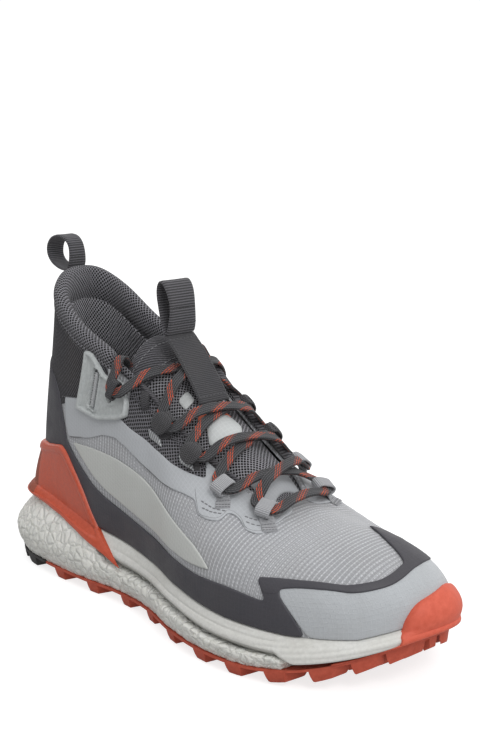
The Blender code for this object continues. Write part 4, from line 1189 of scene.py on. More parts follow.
def refine(S, k=2):
    out = []
    n = len(S)
    for i in range(n):
        p0, p1, p2, p3 = S[(i - 1) % n], S[i], S[(i + 1) % n], S[(i + 2) % n]
        for f in np.linspace(0, 1, k, endpoint=False):
            out.append(.5 * (2 * p1 + (p2 - p0) * f + (2 * p0 - 5 * p1 + 4 * p2 - p3) * f * f + (3 * p1 - p0 - 3 * p2 + p3) * f ** 3))
    return np.array(out)


SEC = refine(SEC, 2)


def collar_point(t, sec, shrink=1.):
    u, d, h = np.minimum(sec[:, 0], 1.), sec[:, 1], np.maximum(sec[:, 2], 0)
    d = -2.9 + (d + 2.9) * shrink
    P = lift(np.full(len(u), t), u, d)
    top = skirt([t % 26], [1.])[0]
    up = unit(top - skirt([t % 26], [.96])[0])
    return P + up * (h * shrink)[:, None]


A = []
for t in tc:
    e = (4.42 - abs(t)) / .32
    k = math.sqrt(max(0., 1 - (1 - min(1., e)) ** 2)) * .86 + .14
    A.append(collar_point(t, SEC, k))
A = np.array(A)
n, k = A.shape[:2]
F = []
for i in range(n - 1):
    for q in range(k):
        r = (q + 1) % k
        F.append((i * k + q, (i + 1) * k + q, (i + 1) * k + r, i * k + r))
F.append(tuple(range(k)))
F.append(tuple((n - 1) * k + q for q in range(k))[::-1])
sl = np.concatenate([[0], np.cumsum(np.linalg.norm(np.diff(A[:, 16], axis=0), axis=1))])
ar = np.concatenate([[0], np.cumsum(np.linalg.norm(np.diff(A[n // 2], axis=0), axis=1))])
uv = np.column_stack([np.repeat(sl - sl[n // 2], k), np.tile(ar, n)])
collar = make("collar_padding", A.reshape(-1, 3), F, MESH_DARK, ["collar"], uv, angle=70)
uu = np.tile(SEC[:, 0], n)
pin = np.tile(np.abs(SEC[:, 0] - .944) < .0045, n) & (np.tile(SEC[:, 1], n) > 0)
pin |= (uu < .868) | ((uu < .922) & (np.tile(SEC[:, 1], n) > -2.2))
puff(collar, .9, 2.5, 16, pin)

# ---------------------------------------------------------------- panels of the upper
heel_tex = [[(-4.3, .926), (-4.2, .66), (-3.7, .655)], [(-3.7, .655), (-3.05, .55), (-2.8, .50)], [(-2.8, .50), (0, .50), (2.8, .50)],
            [(2.8, .50), (3.05, .55), (3.7, .655)], [(3.7, .655), (4.2, .66), (4.3, .926)], [(4.3, .926), (2, .926), (0, .926), (-2, .926), (-4.3, .926)]]
panel("ankle_panel", heel_tex, .05, .5, TWILL, (), "upper_shell", "heel", 4.)

seg = [[(-3.42, .20), (-3.3, .36), (-2.95, .51), (-2.6, .60), (-2.2, .615), (-1.5, .625), (0, .63), (1.5, .625), (2.2, .615), (2.6, .60), (2.95, .51), (3.3, .36), (3.42, .20)],
       [(3.42, .20), (2.4, .13), (0, .12), (-2.4, .13), (-3.42, .20)]]
panel("heel_film", seg, .3, 1.25, FILM_DARK, ["heel_shield"], "heel_shield", "heel", 3.4)

band = [[(3.2, .004), (5, .004), (7, .004), (9, .004), (10.25, .004)],
        [(10.25, .004), (10.02, .12), (9.80, .235)], [(9.80, .235), (9.86, .275), (9.9, .31)],
        [(9.9, .31), (9.6, .335), (9.44, .32), (9.42, .28)], [(9.42, .28), (9.52, .17)],
        [(9.52, .17), (8.75, .19), (7.7, .16), (6.5, .16), (5.3, .17), (4.5, .21), (3.8, .29), (3.3, .37), (3.15, .40)],
        [(3.15, .40), (3.2, .2), (3.2, .004)]]
both("band_film", band, .3, 1.15, FILM_DARK, "mudguard", mode="heel", spacing=3.2)

cap = [[(10.30, .004), (10.0, .13), (9.78, .24)], [(9.78, .24), (9.86, .30), (10.8, .315), (11.6, .275), (12.1, .275), (13, .335), (14.25, .335), (15.2, .315), (16.14, .30)],
       [(16.14, .30), (16.22, .24)], [(16.22, .24), (16.0, .13), (15.70, .004)], [(15.70, .004), (14, .004), (13, .004), (12, .004), (10.30, .004)]]
panel("toe_cap_cloth", cap, .1, .62, RIP_TOE, ["toe_cap"], "toe_cap", "toe", 3.2)

trim = [[(9.80, .235), (9.87, .272), (10.0, .283), (10.8, .290), (11.6, .252), (12.1, .250), (13, .31), (14.25, .31), (15.2, .288), (16.0, .283), (16.13, .272), (16.2, .235)],
        [(16.2, .235), (16.5, .22)], [(16.5, .22), (16.58, .28), (16.56, .32), (16.4, .335), (15.9, .35), (15.2, .47), (14.7, .58), (14.2, .63)],
        [(14.2, .63), (13.35, .515), (12.85, .362)], [(12.85, .362), (11.95, .300), (11.6, .306), (10.55, .350), (9.6, .335), (9.44, .32), (9.42, .28)],
        [(9.42, .28), (9.5, .22)], [(9.5, .22), (9.80, .235)]]
panel("toe_trim_film", trim, .45, 1.35, FILM_DARK, ["toe_trim"], "toe_trim", "toe", 3., soften=0)

light = [[(3.02, .585), (3.35, .63), (3.68, .675)], [(3.68, .675), (4.2, .675), (4.9, .71)], [(4.9, .71), (5.35, .69), (6.15, .69), (6.9, .72), (7.4, .76), (8.05, .83)],
         [(8.05, .83), (8.02, .955)], [(8.02, .955), (8.9, .955), (10, .955), (11.0, .955), (11.9, .955)],
         [(11.9, .955), (11.6, .90), (10.95, .86), (10.3, .79), (9.8, .69)], [(9.8, .69), (9.55, .655), (9.25, .65)], [(9.25, .65), (9.1, .71), (8.95, .725), (8.75, .71)],
         [(8.75, .71), (8.60, .65), (8.45, .60)], [(8.45, .60), (8.15, .56), (7.85, .545)], [(7.85, .545), (7.72, .63)],
         [(7.72, .63), (7.3, .60), (6.9, .56), (6.4, .53), (5.7, .53), (5.2, .57), (4.85, .58), (4.4, .55), (3.9, .47), (3.35, .395)],
         [(3.35, .395), (3.2, .45), (3.02, .585)]]
both("eyestay_light_film", light, .25, .8, FILM_GREY, "eyestay_film", mode="girth", spacing=3.0, step=1.3, straight=True, soften=2)

sidep = [[(3.5, .385), (4.05, .435), (5.35, .465), (6.65, .41), (7.75, .335)], [(7.75, .335), (8.0, .29), (8.2, .235)],
         [(8.2, .235), (7.6, .205), (6.5, .20), (5.4, .21), (4.6, .25), (3.95, .325), (3.5, .385)]]
both("side_panel_film", sidep, .3, 1.0, FILM_SIDE, "side_panel", mode="girth", spacing=3.0, soften=2)

stay = [[(5.25, .955), (5.2, .80), (4.95, .71)], [(4.95, .71), (5.35, .67), (6.15, .67), (6.9, .70), (7.4, .74), (8.05, .80)],
        [(8.05, .80), (8.3, .86), (8.2, .955)], [(8.2, .955), (7.2, .955), (6.2, .955), (5.25, .955)]]
both("eyestay_mesh", stay, .05, .55, MESH_STAY, "eyestay_mesh", mode="girth", spacing=3.0)

# rolled edge along the throat and the piping beside it
edge_hi = [(4.62, .985), (5.5, .985), (6.5, .985), (7.5, .985), (8.6, .985), (9.6, .985), (10.6, .985), (11.4, .985)]
for sfx, sg in (("outer", 1), ("inner", -1)):
    f = (lambda Q: Q) if sg > 0 else (lambda Q: [(26 - a, b) for a, b in Q][::-1])
    bead("throat_binding_" + sfx, f([(4.55, .975), (5.5, .972), (6.5, .972), (7.5, .972), (8.15, .97)]), 4.4, 1.5, .1, MESH_STAY)
    bead("throat_piping_" + sfx, f([(5.3, .88), (5.9, .885), (6.6, .885), (7.3, .885), (8.05, .90)]), 2.2, .9, .45, MESH_STAY)
    bead("film_edge_line_" + sfx, f([(3.4, .402), (3.9, .477), (4.4, .557), (4.85, .587), (5.2, .577), (5.7, .537), (6.4, .537), (6.9, .567), (7.3, .607), (7.7, .637)]),
         .6, .16, .62, THREAD_DARK, sink=.5)
    bead("tab_edge_line_" + sfx, f([(7.72, .70), (7.80, .62), (7.90, .562), (8.15, .578), (8.42, .615), (8.60, .668), (8.75, .727), (8.95, .742), (9.12, .727), (9.27, .668), (9.5, .672), (9.75, .702), (10.2, .79), (10.7, .855), (11.2, .89)]),
         .55, .14, .68, THREAD_MID, sink=.5)
    stitches("film_stitches_" + sfx, [(f([(7.98, .655), (8.3, .665), (8.62, .70)]), .82), (f([(8.02, .615), (8.25, .63), (8.5, .66)]), .82),
                                     (f([(9.32, .755), (9.6, .765), (9.95, .80)]), .82), (f([(9.34, .715), (9.6, .722), (9.85, .75)]), .82)],
             THREAD_MID, 2.7, 1.9, .7, .35)
    # the reflective tabs
    Q = outline([[(5.98, .725), (6.46, .745)], [(6.46, .745), (6.40, .793)], [(6.40, .793), (5.92, .773)], [(5.92, .773), (5.98, .725)]], 1.0, 1)
    if sg < 0:
        Q = np.column_stack([26 - Q[:, 0], Q[:, 1]])[::-1]
    panel("reflective_tab_a_" + sfx, None, .5, 1.7, REFLECT, ["reflective_tab_" + sfx], "reflective_tab_" + sfx, "girth", 2., (.25, .6), keep_outline=Q)
    Q = outline([[(7.16, .775), (7.66, .805)], [(7.66, .805), (7.60, .853)], [(7.60, .853), (7.10, .823)], [(7.10, .823), (7.16, .775)]], 1.0, 1)
    if sg < 0:
        Q = np.column_stack([26 - Q[:, 0], Q[:, 1]])[::-1]
    panel("reflective_tab_b_" + sfx, None, .5, 1.7, REFLECT, (), "reflective_tab_" + sfx, "girth", 2., (.25, .6), keep_outline=Q)
    # thin seam between the ankle panel and the collar, and the panel's lower seam
    stitches("ankle_stitches_" + sfx, [(f([(.3, .910), (1.5, .910), (2.8, .910), (3.9, .910)]), .5), (f([(2.95, .575), (3.3, .625), (3.62, .668)]), .85)],
             THREAD_DARK, 2.6, 1.9, .55, .3)
R = curve([(0.01, .944), (1.5, .944), (3, .944), (4.2, .944)], 2.6)
stitches("collar_stitches", [([(-4.2, .944), (-3, .944), (-1.5, .944), (0, .944), (1.5, .944), (3, .944), (4.2, .944)], .62)], THREAD_DARK, 2.6, 2.0, .6, .5)

# soft rolled edge of the knit along both sides of the throat
bead("throat_edge_outer", curve([(5.35, .985), (6.5, .985), (7.6, .985), (8.7, .985), (9.2, .985)], 1.6), 3.0, 2.6, .5, HEM)
bead("throat_edge_inner", curve([(26 - 9.2, .985), (26 - 8.7, .985), (26 - 7.6, .985), (26 - 6.5, .985), (26 - 5.35, .985)], 1.6), 4.2, 4.4, 1.0, HEM)


# ---------------------------------------------------------------- moulded lace plates
def seg_dist(X, Q):
    """distance from points X to the closed polyline Q"""
    a, b = Q[None], np.roll(Q, -1, 0)[None]
    d = b - a
    f = np.clip(np.sum((X[:, None] - a) * d, 2) / np.maximum(np.sum(d * d, 2), 1e-9), 0, 1)
    return np.min(np.linalg.norm(X[:, None] - a - d * f[..., None], axis=2), 1)


PLATE_S = np.array([bil(ROW, [5.2], [.8])[0] - bil(ROW, [3.5], [.8])[0], 0])
PLATE_S = np.array([PLATE_S[0] / 1.7, (bil(COL, [4.3], [.93])[0] - bil(COL, [4.3], [.7])[0]) / .23])


def plate_shape_for(Q):
    Qm = np.column_stack([np.minimum(Q[:, 0], 26 - Q[:, 0]), Q[:, 1]]) * PLATE_S

    def shape(t, u):
        q = fold(t)
        X = np.column_stack([q, u]) * PLATE_S
        e = seg_dist(X, Qm)
        rim = sstep((2.6 - e) / .7)                                   # raised edge all round
        sl = np.abs(X - np.array([3.98, .77]) * PLATE_S)
        r = np.hypot(np.maximum(sl[:, 0] - 1.1, 0), np.maximum(sl[:, 1] - 9.5, 0))
        frame_ = sstep((3.0 - r) / .6) * sstep((r - 1.7) / .5)        # lip round the cord slot
        slot_ = sstep((1.9 - r) / .6)
        w = np.linalg.norm(X - np.array([4.66, .79]) * PLATE_S, axis=1)
        boss = sstep((4.6 - w) / .8) * sstep((w - 2.3) / .7)
        hole = sstep((2.7 - w) / .8)
        step_ = .35 * sstep((X[:, 0] - 4.3 * PLATE_S[0]) / 1.5)
        return -1.6 * (1 - rim) + 1.6 * frame_ * (1 - rim) - 1.0 * slot_ + 1.5 * boss - 1.9 * hole + step_
    return shape


# faces in the cord slot and the lace hole take the darker material, painted shade in these recesses
def plate_pick(t, u):
    X = np.column_stack([fold(t), u]) * PLATE_S
    sl = np.abs(X - np.array([3.98, .77]) * PLATE_S)
    r = np.hypot(np.maximum(sl[:, 0] - 1.1, 0), np.maximum(sl[:, 1] - 9.5, 0))
    w = np.linalg.norm(X - np.array([4.66, .79]) * PLATE_S, axis=1)
    return ((r < 1.5) | (w < 2.4)).astype(int)


pl = [[(3.50, .592), (4.25, .622)], [(4.25, .622), (4.95, .69)], [(4.95, .69), (5.24, .745)], [(5.24, .745), (5.26, .83)], [(5.26, .83), (5.12, .865)], [(5.12, .865), (5.12, .905)],
      [(5.12, .905), (4.78, .915)], [(4.78, .915), (4.45, .885)], [(4.45, .885), (4.22, .885)], [(4.22, .885), (3.72, .945)], [(3.72, .945), (3.52, .935)], [(3.52, .935), (3.50, .592)]]
for sfx in ("outer", "inner"):
    Q = outline(pl, 1.0, 3)
    if sfx == "inner":
        Q = np.column_stack([26 - Q[:, 0], Q[:, 1]])[::-1]
    panel("lace_plate_moulding_" + sfx, None, .5, 3.2, [PLATE_M, PLATE_RECESS_SHADE], ["lace_plate_" + sfx], "lace_plate_" + sfx, "heel", .8, (.4, 1.), plate_shape_for(Q), angle=40, keep_outline=Q, pick=plate_pick)
    f = (lambda Q: Q) if sfx == "outer" else (lambda Q: [(26 - a, b) for a, b in Q][::-1])
    # twisted cord rib in the slot
    R = curve(f([(3.98, .672), (3.98, .77), (3.98, .868)]), .35)
    P = lift(R[:, 0], R[:, 1], np.full(len(R), 1.6))
    nn = unit(lift(R[:, 0], R[:, 1], np.full(len(R), 2.6)) - P)
    T = unit(np.gradient(P, axis=0))
    W = unit(np.cross(T, nn))
    s = np.concatenate([[0], np.cumsum(np.linalg.norm(np.diff(P, axis=0), axis=1))])
    secs = []
    for q in s:
        a = 2 * math.pi * q / 3.4
        th = np.linspace(0, 2 * math.pi, 14, endpoint=False)
        r = 1.0 + .36 * np.abs(np.cos(th - a))
        secs.append(np.column_stack([r * np.cos(th), r * np.sin(th)]))
    V, F = tube(P, W, nn, np.array(secs))
    make("plate_cord_" + sfx, V, F, THREAD_GREY, (), np.column_stack([np.repeat(s, 14), np.tile(np.arange(14) * .35, len(P))]))


# ---------------------------------------------------------------- heel clip and toe bumper
def clip_edges(a):
    lo = np.interp(a, [0, 1.6, 2.35, 2.75, 3.33, 3.85, 4.35, 5.0, 5.12], [-.20, -.20, -.185, -.17, -.165, -.225, -.31, -.44, -.455])
    hi = np.interp(a, [0, 1.3, 2.0, 2.6, 2.95, 3.2, 3.38, 3.7, 4.0, 4.38, 5.0, 5.12], [.178, .180, .205, .245, .290, .325, .308, .238, .158, .008, -.385, -.45])
    return lo, hi


tcl = np.linspace(-5.12, 5.12, 205)
a = np.abs(tcl)
lo, hi = clip_edges(a)
for _ in range(3):
    hi[1:-1] = (hi[:-2] + 2 * hi[1:-1] + hi[2:]) / 4
    lo[1:-1] = (lo[:-2] + 2 * lo[1:-1] + lo[2:]) / 4
wid = np.array([bil(COL, [t % 26], [h])[0] - bil(COL, [t % 26], [l])[0] for t, h, l in zip(tcl, hi, lo)])
rows = 40
A, B, TU, MI = [], [], [], []
for k, t in enumerate(tcl):
    w = max(wid[k], .6)
    # distance from the lower edge in millimetres; narrow ends lose the panel first
    s = np.sort(np.concatenate([np.linspace(0, w, rows - 12), np.clip([.25, .8, 4.6, 5.4, 6.4, w - 5.2, w - 4.4, w - 3.6, w - .9, w - .3], 0, w), [w * .37, w * .61]]))
    s = s + np.arange(len(s)) * .006
    s = s * w / s[-1]
    u = lo[k] + (hi[k] - lo[k]) * s / w
    top = np.interp(a[k], [0, 3.2, 5.12], [3.1, 3.1, 2.1])
    prof = np.interp(s, [0, .3, .9, 1.6], [.35, .9, 1.6, 1.9])
    if w > 12:
        prof = np.interp(s, [0, .3, .9, 4.4, 5.2, 6.2, w - 5.0, w - 4.2, w - 3.4, w - 1.0, w - .3, w], [.4, 1.2, 1.7, 2.5, 2.45, 1.75, 1.75, 2.0, top, top, top * .7, .45])
    else:
        m_ = top * min(1., w / 7.)
        prof = np.interp(s / w, [0, .04, .12, .5, .88, .96, 1], [.4, .9, m_ * .8, m_, m_ * .9, m_ * .6, .4])
    # the clip fills the step between the foam and the heel, so its back slopes outwards
    q_ = np.clip(s / w, 0, 1)
    ex = 7.6 * sstep((3.3 - a[k]) / 1.5) * (2.6 * q_ ** .6 * (1 - q_) ** 1.1 + .1)
    n2 = plan([t % 26], 0.)[1][0]
    A.append(lift(np.full(len(s), t), u, prof) + np.column_stack([n2[0] * ex, n2[1] * ex, 0 * ex]))
    B.append(lift(np.full(len(s), t), u, np.full(len(s), .25)))
    TU.append(np.column_stack([np.full(len(s), t), u]))
    rec = (s > 5.6) & (s < w - 4.5) & (w > 12) & (a[k] < 2.35)
    MI.append(rec)
A, B, TU, MI = np.array(A), np.array(B), np.array(TU), np.array(MI)
V, F, nA = two_sided(A, B)
m_ = A.shape[1]
mi = np.zeros(len(F), np.int32)
for q in range(nA):
    i, j = divmod(q, m_ - 1)
    mi[q] = 1 if MI[i, j] and MI[i, min(j + 1, m_ - 1)] and MI[min(i + 1, len(tcl) - 1), j] else 0
uv = chart(np.tile(TU[..., 0].ravel(), 2), np.tile(TU[..., 1].ravel(), 2), V, "heel")
make("heel_clip_moulding", V, F, [CLIP, CLIP_IN], ["heel_clip"], uv, angle=35, mi=mi)

bump_o = [[(10.75, -.995), (10.78, -.89)], [(10.78, -.89), (11.4, -.85), (12.0, -.70), (12.08, -.64)], [(12.08, -.64), (12.10, -.35), (12.12, -.10), (12.2, .035)], [(12.2, .035), (12.4, .095), (13.05, .143), (14.2, .155), (14.9, .115), (15.4, .02)],
          [(15.4, .02), (15.9, -.6)], [(15.9, -.6), (16.5, -.84), (17.17, -.89)], [(17.17, -.89), (17.2, -.995)], [(17.2, -.995), (15, -.995), (13, -.995), (12, -.995), (10.75, -.995)]]


def bump_shape(t, u):
    c = np.exp(-((t - 13) / 1.4) ** 2)
    return .2 * c * sstep((u + .9) / .4) * sstep((.12 - u) / .2)


def bump_place(t, u, d, k):
    """swells forward at the height of the crease, so the rubber rises in one smooth face"""
    P = side(t % 26, u)
    n3 = unit(off(t % 26, u, 1.) - P)
    nh = np.column_stack([plan(t, 0.)[1], np.zeros(len(t))])
    f = sstep(u / .12)[:, None]
    n = unit(n3 * f + nh * (1 - f))
    P = P + n * d[:, None]
    q = sstep((t - 11.9) / .75) * sstep((15.6 - t) / .8) * k
    base, n2 = plan(t, 0.)
    ins = np.sum((base - P[:, :2]) * n2, 1)
    h = P[:, 2] - zf(cr(SO, t)[:, 0])
    goal = np.interp(h, [-9, -6.5, -4, -1.5, 1, 3.5, 6, 9, 12, 15], [5.4, 2.9, 1.0, -.2, -.8, -1.0, -.5, .9, 3.0, 6.])
    ins = ins * (1 - q) + np.minimum(goal, ins + .6) * q
    P[:, :2] = base - n2 * ins[:, None]
    return P


panel("toe_bumper_rubber", bump_o, .2, 2.1, RUBBER, ["toe_bumper"], "toe_bumper", "toe", 2.2, (.6, 1.5), bump_shape, step=1.2, place=bump_place)

# ---------------------------------------------------------------- midsole
RF = np.random.default_rng(11)


def cells(P, spacing, seed):
    """distance to the nearest and second nearest of jittered points on a lattice"""
    r = np.random.default_rng(seed)
    lo, hi = P.min(0) - spacing, P.max(0) + spacing
    best = np.full((len(P), 2), 1e9)
    dims = np.ceil((hi - lo) / spacing).astype(int) + 1
    J = r.random(tuple(dims) + (3,))
    base = np.floor((P - lo) / spacing).astype(int)
    for dx in (-1, 0, 1):
        for dy in (-1, 0, 1):
            for dz in (-1, 0, 1):
                c = np.clip(base + [dx, dy, dz], 0, dims - 1)
                q = lo + (c + J[c[:, 0], c[:, 1], c[:, 2]]) * spacing
                d = np.linalg.norm(P - q, axis=1)
                s = np.sort(np.column_stack([best, d]), axis=1)[:, :2]
                best = s
    return best


def groove(t):
    return np.interp(fold(t), *GROOVE)


tm = np.arange(0, 26, .045)
wg = groove(tm)
x0 = cr(SO, tm)[:, 0]
top_i = np.interp(x0, *FEATHER_INSET)
rows = 22
f = np.concatenate([np.linspace(0, .93, rows - 3), [.965, .99, 1.0]])
W = wg[:, None] * f[None]
T = np.repeat(tm[:, None], rows, 1)
P = wall(T.ravel(), W.ravel())
n = unit(off(T.ravel(), W.ravel() - 1, 1.) - off(T.ravel(), W.ravel() - 1, 0.))
c = cells(P, 6.2, 3)
ridge = np.clip((c[:, 1] - c[:, 0]) / 1.6, 0, 1)
heelness = np.clip((120 - P[:, 0]) / 90, 0, 1)
c2 = cells(P, 11., 5)
dent = np.exp(-(c2[:, 0] / 3.2) ** 2) * heelness
fr = np.tile(f, len(tm))
amp = .42 * (1 - .5 * np.clip(1 - np.tile(np.ones(rows), len(tm)), 0, 1))
d = (ridge ** .6 - 1) * .55 - dent * 1.0
has_rim = (fold(T.ravel()) > 4.6)
top_roll = np.where(has_rim, -4.0 * np.clip((fr - .76) / .24, 0, 1) ** 1.5 * np.clip((10.2 - fold(T.ravel())) / .5, 0, 1), 0)
q = np.clip(np.repeat(wg, rows) / .35, 0, 1)
P = P + n * (d * (.35 + .65 * q) + top_roll)[:, None]
inner = plan(T.ravel(), LEDGE_INSET - .2)[0]
P[:, :2] = P[:, :2] * q[:, None] + inner * (1 - q)[:, None]
P = P.reshape(len(tm), rows, 3)
led = np.maximum(LEDGE_INSET, top_i + 2)
z0 = FOAM_BASE + zs(x0)
L1 = np.column_stack([plan(tm, led)[0], z0 + (zf(x0) - z0) * wg + .05])
L2 = np.column_stack([plan(tm, led + .6)[0], zf(x0) + .1])
G = np.concatenate([P, L1[:, None], L2[:, None]], 1)
N_, M_ = G.shape[:2]
V = G.reshape(-1, 3)
F = []
for i in range(N_):
    k = (i + 1) % N_
    for j in range(M_ - 1):
        F.append((i * M_ + j, k * M_ + j, k * M_ + j + 1, i * M_ + j + 1))
h = N_ // 2
for i in range(h):
    for j0, fl in ((0, True), (M_ - 1, False)):
        q4 = list(dict.fromkeys([i * M_ + j0, (i + 1) * M_ + j0, ((N_ - i - 1) % N_) * M_ + j0, ((N_ - i) % N_) * M_ + j0]))
        if len(q4) > 2:
            F.append(tuple(q4[::-1] if fl else q4))
make("midsole_bead_foam", V, F, FOAM, ["midsole_foam"], None, angle=60)

# firmer rim above the groove
tr = np.arange(4.38, 21.6201, .045)
g = groove(tr)
xr = cr(SO, tr)[:, 0]
rows = 30
f = np.concatenate([[0, .012, .035], np.linspace(.07, .95, rows - 5), [.98, 1.0]])
low = np.minimum(g + .035, .97)
W = low[:, None] + (1 - low)[:, None] * f[None]
T = np.repeat(tr[:, None], rows, 1)
P = wall(T.ravel(), W.ravel())
n = unit(off(T.ravel(), W.ravel() - 1, 1.) - off(T.ravel(), W.ravel() - 1, 0.))
z = P[:, 2] - zs(P[:, 0])
fwd = np.clip((fold(T.ravel()) - 8.2) / 1.2, 0, 1) * np.clip((z - 9) / 2., 0, 1)
fr = np.tile(f, len(tr))
ridges = .5 * np.abs(np.sin(math.pi * (z + .05 * P[:, 0]) / 2.6)) ** .7 * fwd * np.clip((.93 - fr) / .05, 0, 1)
roll = -3.6 * np.clip(1 - fr / .20, 0, 1) ** 1.6 - .7 * np.clip((fr - .95) / .05, 0, 1) ** 2
crease = -.55 * np.exp(-(((W.ravel() - .80) / .025) ** 2)) * np.clip((fold(T.ravel()) - 4.6) / .6, 0, 1) * np.clip((10.5 - fold(T.ravel())) / 2, 0, 1)
ends = np.clip((tr - 4.38) / .5, 0, 1) * np.clip((21.62 - tr) / .5, 0, 1)
P = P + n * (ridges + roll + crease + .35)[:, None]
P = P.reshape(len(tr), rows, 3)
B = P.copy()
q = plan(tr, RIM_INSET)[0]
B[..., 0], B[..., 1] = q[:, None, 0], q[:, None, 1]
V, F, nA = two_sided(P, B)
# uv x: where the groove's painted shade applies; uv y: height up the rim
groove_shade_amount = np.clip((10.1 - fold(T.ravel())) / 1.2, 0, 1)
uv = np.tile(np.column_stack([groove_shade_amount, fr]), (2, 1))
make("midsole_rim_eva", V, F, EVA, ["midsole_rim"], uv, angle=60)


# ---------------------------------------------------------------- outsole
def sole_piece(name, t0, t1, lugs, first_arc, last_arc, mat, nodes):
    """rubber sheet with separate moulded lugs hanging from it"""
    cols = np.linspace(-1, 1, 25)
    rows_t = np.linspace(t0, t1, max(8, int((t1 - t0) / .14)))
    inset_ = lambda x: .4 + tuck(x) * .8
    G = sole_rows(list(rows_t), cols, inset_, first_arc, last_arc, 5.)
    z = zs(sole_rows(list(rows_t), cols, .4, first_arc, last_arc, 5.)[..., 0])
    A, B = np.dstack([G, z + SHEET_TOP + .35]), np.dstack([G, z + LUG_DEPTH + 1.15])
    V, F, _ = two_sided(A, B)
    V, F = [tuple(p) for p in V], [tuple(f) for f in F]
    for i, n_ in lugs:
        rr = [i, i + n_ * .5, i + n_]
        for c0, c1 in ((-1, -.70), (-.54, -.12), (.12, .54), (.70, 1)):
            cc = np.linspace(c0, c1, 4)
            g = sole_rows(rr, cc, inset_, False, False, 5.)
            g = np.dstack([g, zs(sole_rows(rr, cc, .4, False, False, 5.)[..., 0])])
            # waisted block: outline anticlockwise
            ring = [g[0, j] for j in range(4)] + [g[1, 3]] + [g[2, j] for j in (3, 2, 1, 0)] + [g[1, 0]]
            ring = np.array(ring)
            zz, ring = ring[:, 2], ring[:, :2]
            ctr = ring.mean(0)
            m, b0 = len(ring), len(V)
            levels = ((1., LUG_DEPTH + 1.7), (.99, LUG_DEPTH + .6), (.90, LUG_DEPTH * .6), (.78, .45), (.70, 0.))
            for sc, h in levels:
                for p, q in zip(ctr + (ring - ctr) * sc, zz):
                    V.append((p[0], p[1], q + h))
            a_ = ring - ctr
            flip = np.sum(a_[:, 0] * np.roll(a_[:, 1], -1) - np.roll(a_[:, 0], -1) * a_[:, 1]) < 0
            new = []
            for L in range(len(levels) - 1):
                for e in range(m):
                    e2 = (e + 1) % m
                    new.append((b0 + L * m + e, b0 + (L + 1) * m + e, b0 + (L + 1) * m + e2, b0 + L * m + e2))
            new.append(tuple(b0 + e for e in range(m)))
            new.append(tuple(b0 + (len(levels) - 1) * m + e for e in range(m))[::-1])
            F += [f[::-1] for f in new] if flip else new
    return make(name, np.array(V), F, mat, nodes, None, angle=32)


sole_piece("outsole_heel_rubber", .9, 2.93, ((.98, .36), (1.62, .34), (2.25, .34)), True, False, RUBBER_DARK, ["outsole_heel"])
sole_piece("outsole_forefoot_rubber", 3.0, 12.45, [(i, .25 + .052 * max(0., i - 6.6)) for i in (3.3, 4.2, 5.1, 6.0, 6.9, 7.8, 8.65, 9.5, 10.35, 11.15, 11.85)], False, True, RUBBER_SOLE_SHADED, ["outsole_forefoot"])


# ---------------------------------------------------------------- tongue
TT_ = np.linspace(4.9, 11.9, 71)
AA = np.linspace(-1, 1, 41)


def tongue_rows(sign):
    out = []
    up = unit(tongue(4.9, 0)[0] - tongue(5.2, 0)[0])
    base = [tongue(4.9, a)[0] for a in AA]
    for s in (1., .9, .72, .5, .28):
        row = []
        for a, b in zip(AA, base):
            th = half(a) * (math.sqrt(max(0., 1 - s ** 2.2)) * .85 + .15)
            p, nn = tongue(4.9, a, sign * th)
            row.append(p + up * 10.0 * s * (1 - .75 * abs(a) ** 2.8))
        out.append(row)
    for t in TT_:
        w = 1.0 + .0 * t
        out.append([tongue(t, a, sign * half(a) * w + 1.5 * sstep((a - .42) / .3) * sstep((10.4 - t) / 1.) * (sign > 0))[0] for a in AA])
    return np.array(out)


A, B = tongue_rows(1), tongue_rows(-1)
V, F, _ = two_sided(A, B)
sa = np.concatenate([[0], np.cumsum(np.linalg.norm(np.diff(A[:, 20], axis=0), axis=1))])
sb = np.array([np.linalg.norm(A[20, j] - A[20, 20]) * np.sign(j - 20) for j in range(len(AA))])
uv = np.column_stack([np.repeat(sa, len(AA)), np.tile(sb, len(sa))])
tongue_ob = make("tongue_padding", V, F, MESH_TONGUE, ["tongue"], np.concatenate([uv, uv]), angle=70)
edge = np.zeros(A.shape[:2], bool)
edge[-6:] = True
edge[:, 0] = edge[:, -1] = True
puff(tongue_ob, .5, 2., 14, np.concatenate([edge.ravel(), edge.ravel()]))


def tongue_line(t0, t1, a, lift_, n=40, rise=0.):
    P, N = [], []
    for q in np.linspace(0, 1, n):
        t = t0 + (t1 - t0) * q
        aa = a[0] + (a[1] - a[0]) * q if hasattr(a, "__len__") else a
        p, nn = tongue(t, aa, half(aa) + lift_)
        P.append(p)
        N.append(nn)
    return np.array(P), np.array(N)


def resample(P, N, step):
    L = np.concatenate([[0], np.cumsum(np.linalg.norm(np.diff(P, axis=0), axis=1))])
    k = max(2, int(round(L[-1] / step)))
    q = np.linspace(0, L[-1], k + 1)
    return np.stack([np.interp(q, L, P[:, c]) for c in range(3)], 1), unit(np.stack([np.interp(q, L, N[:, c]) for c in range(3)], 1))


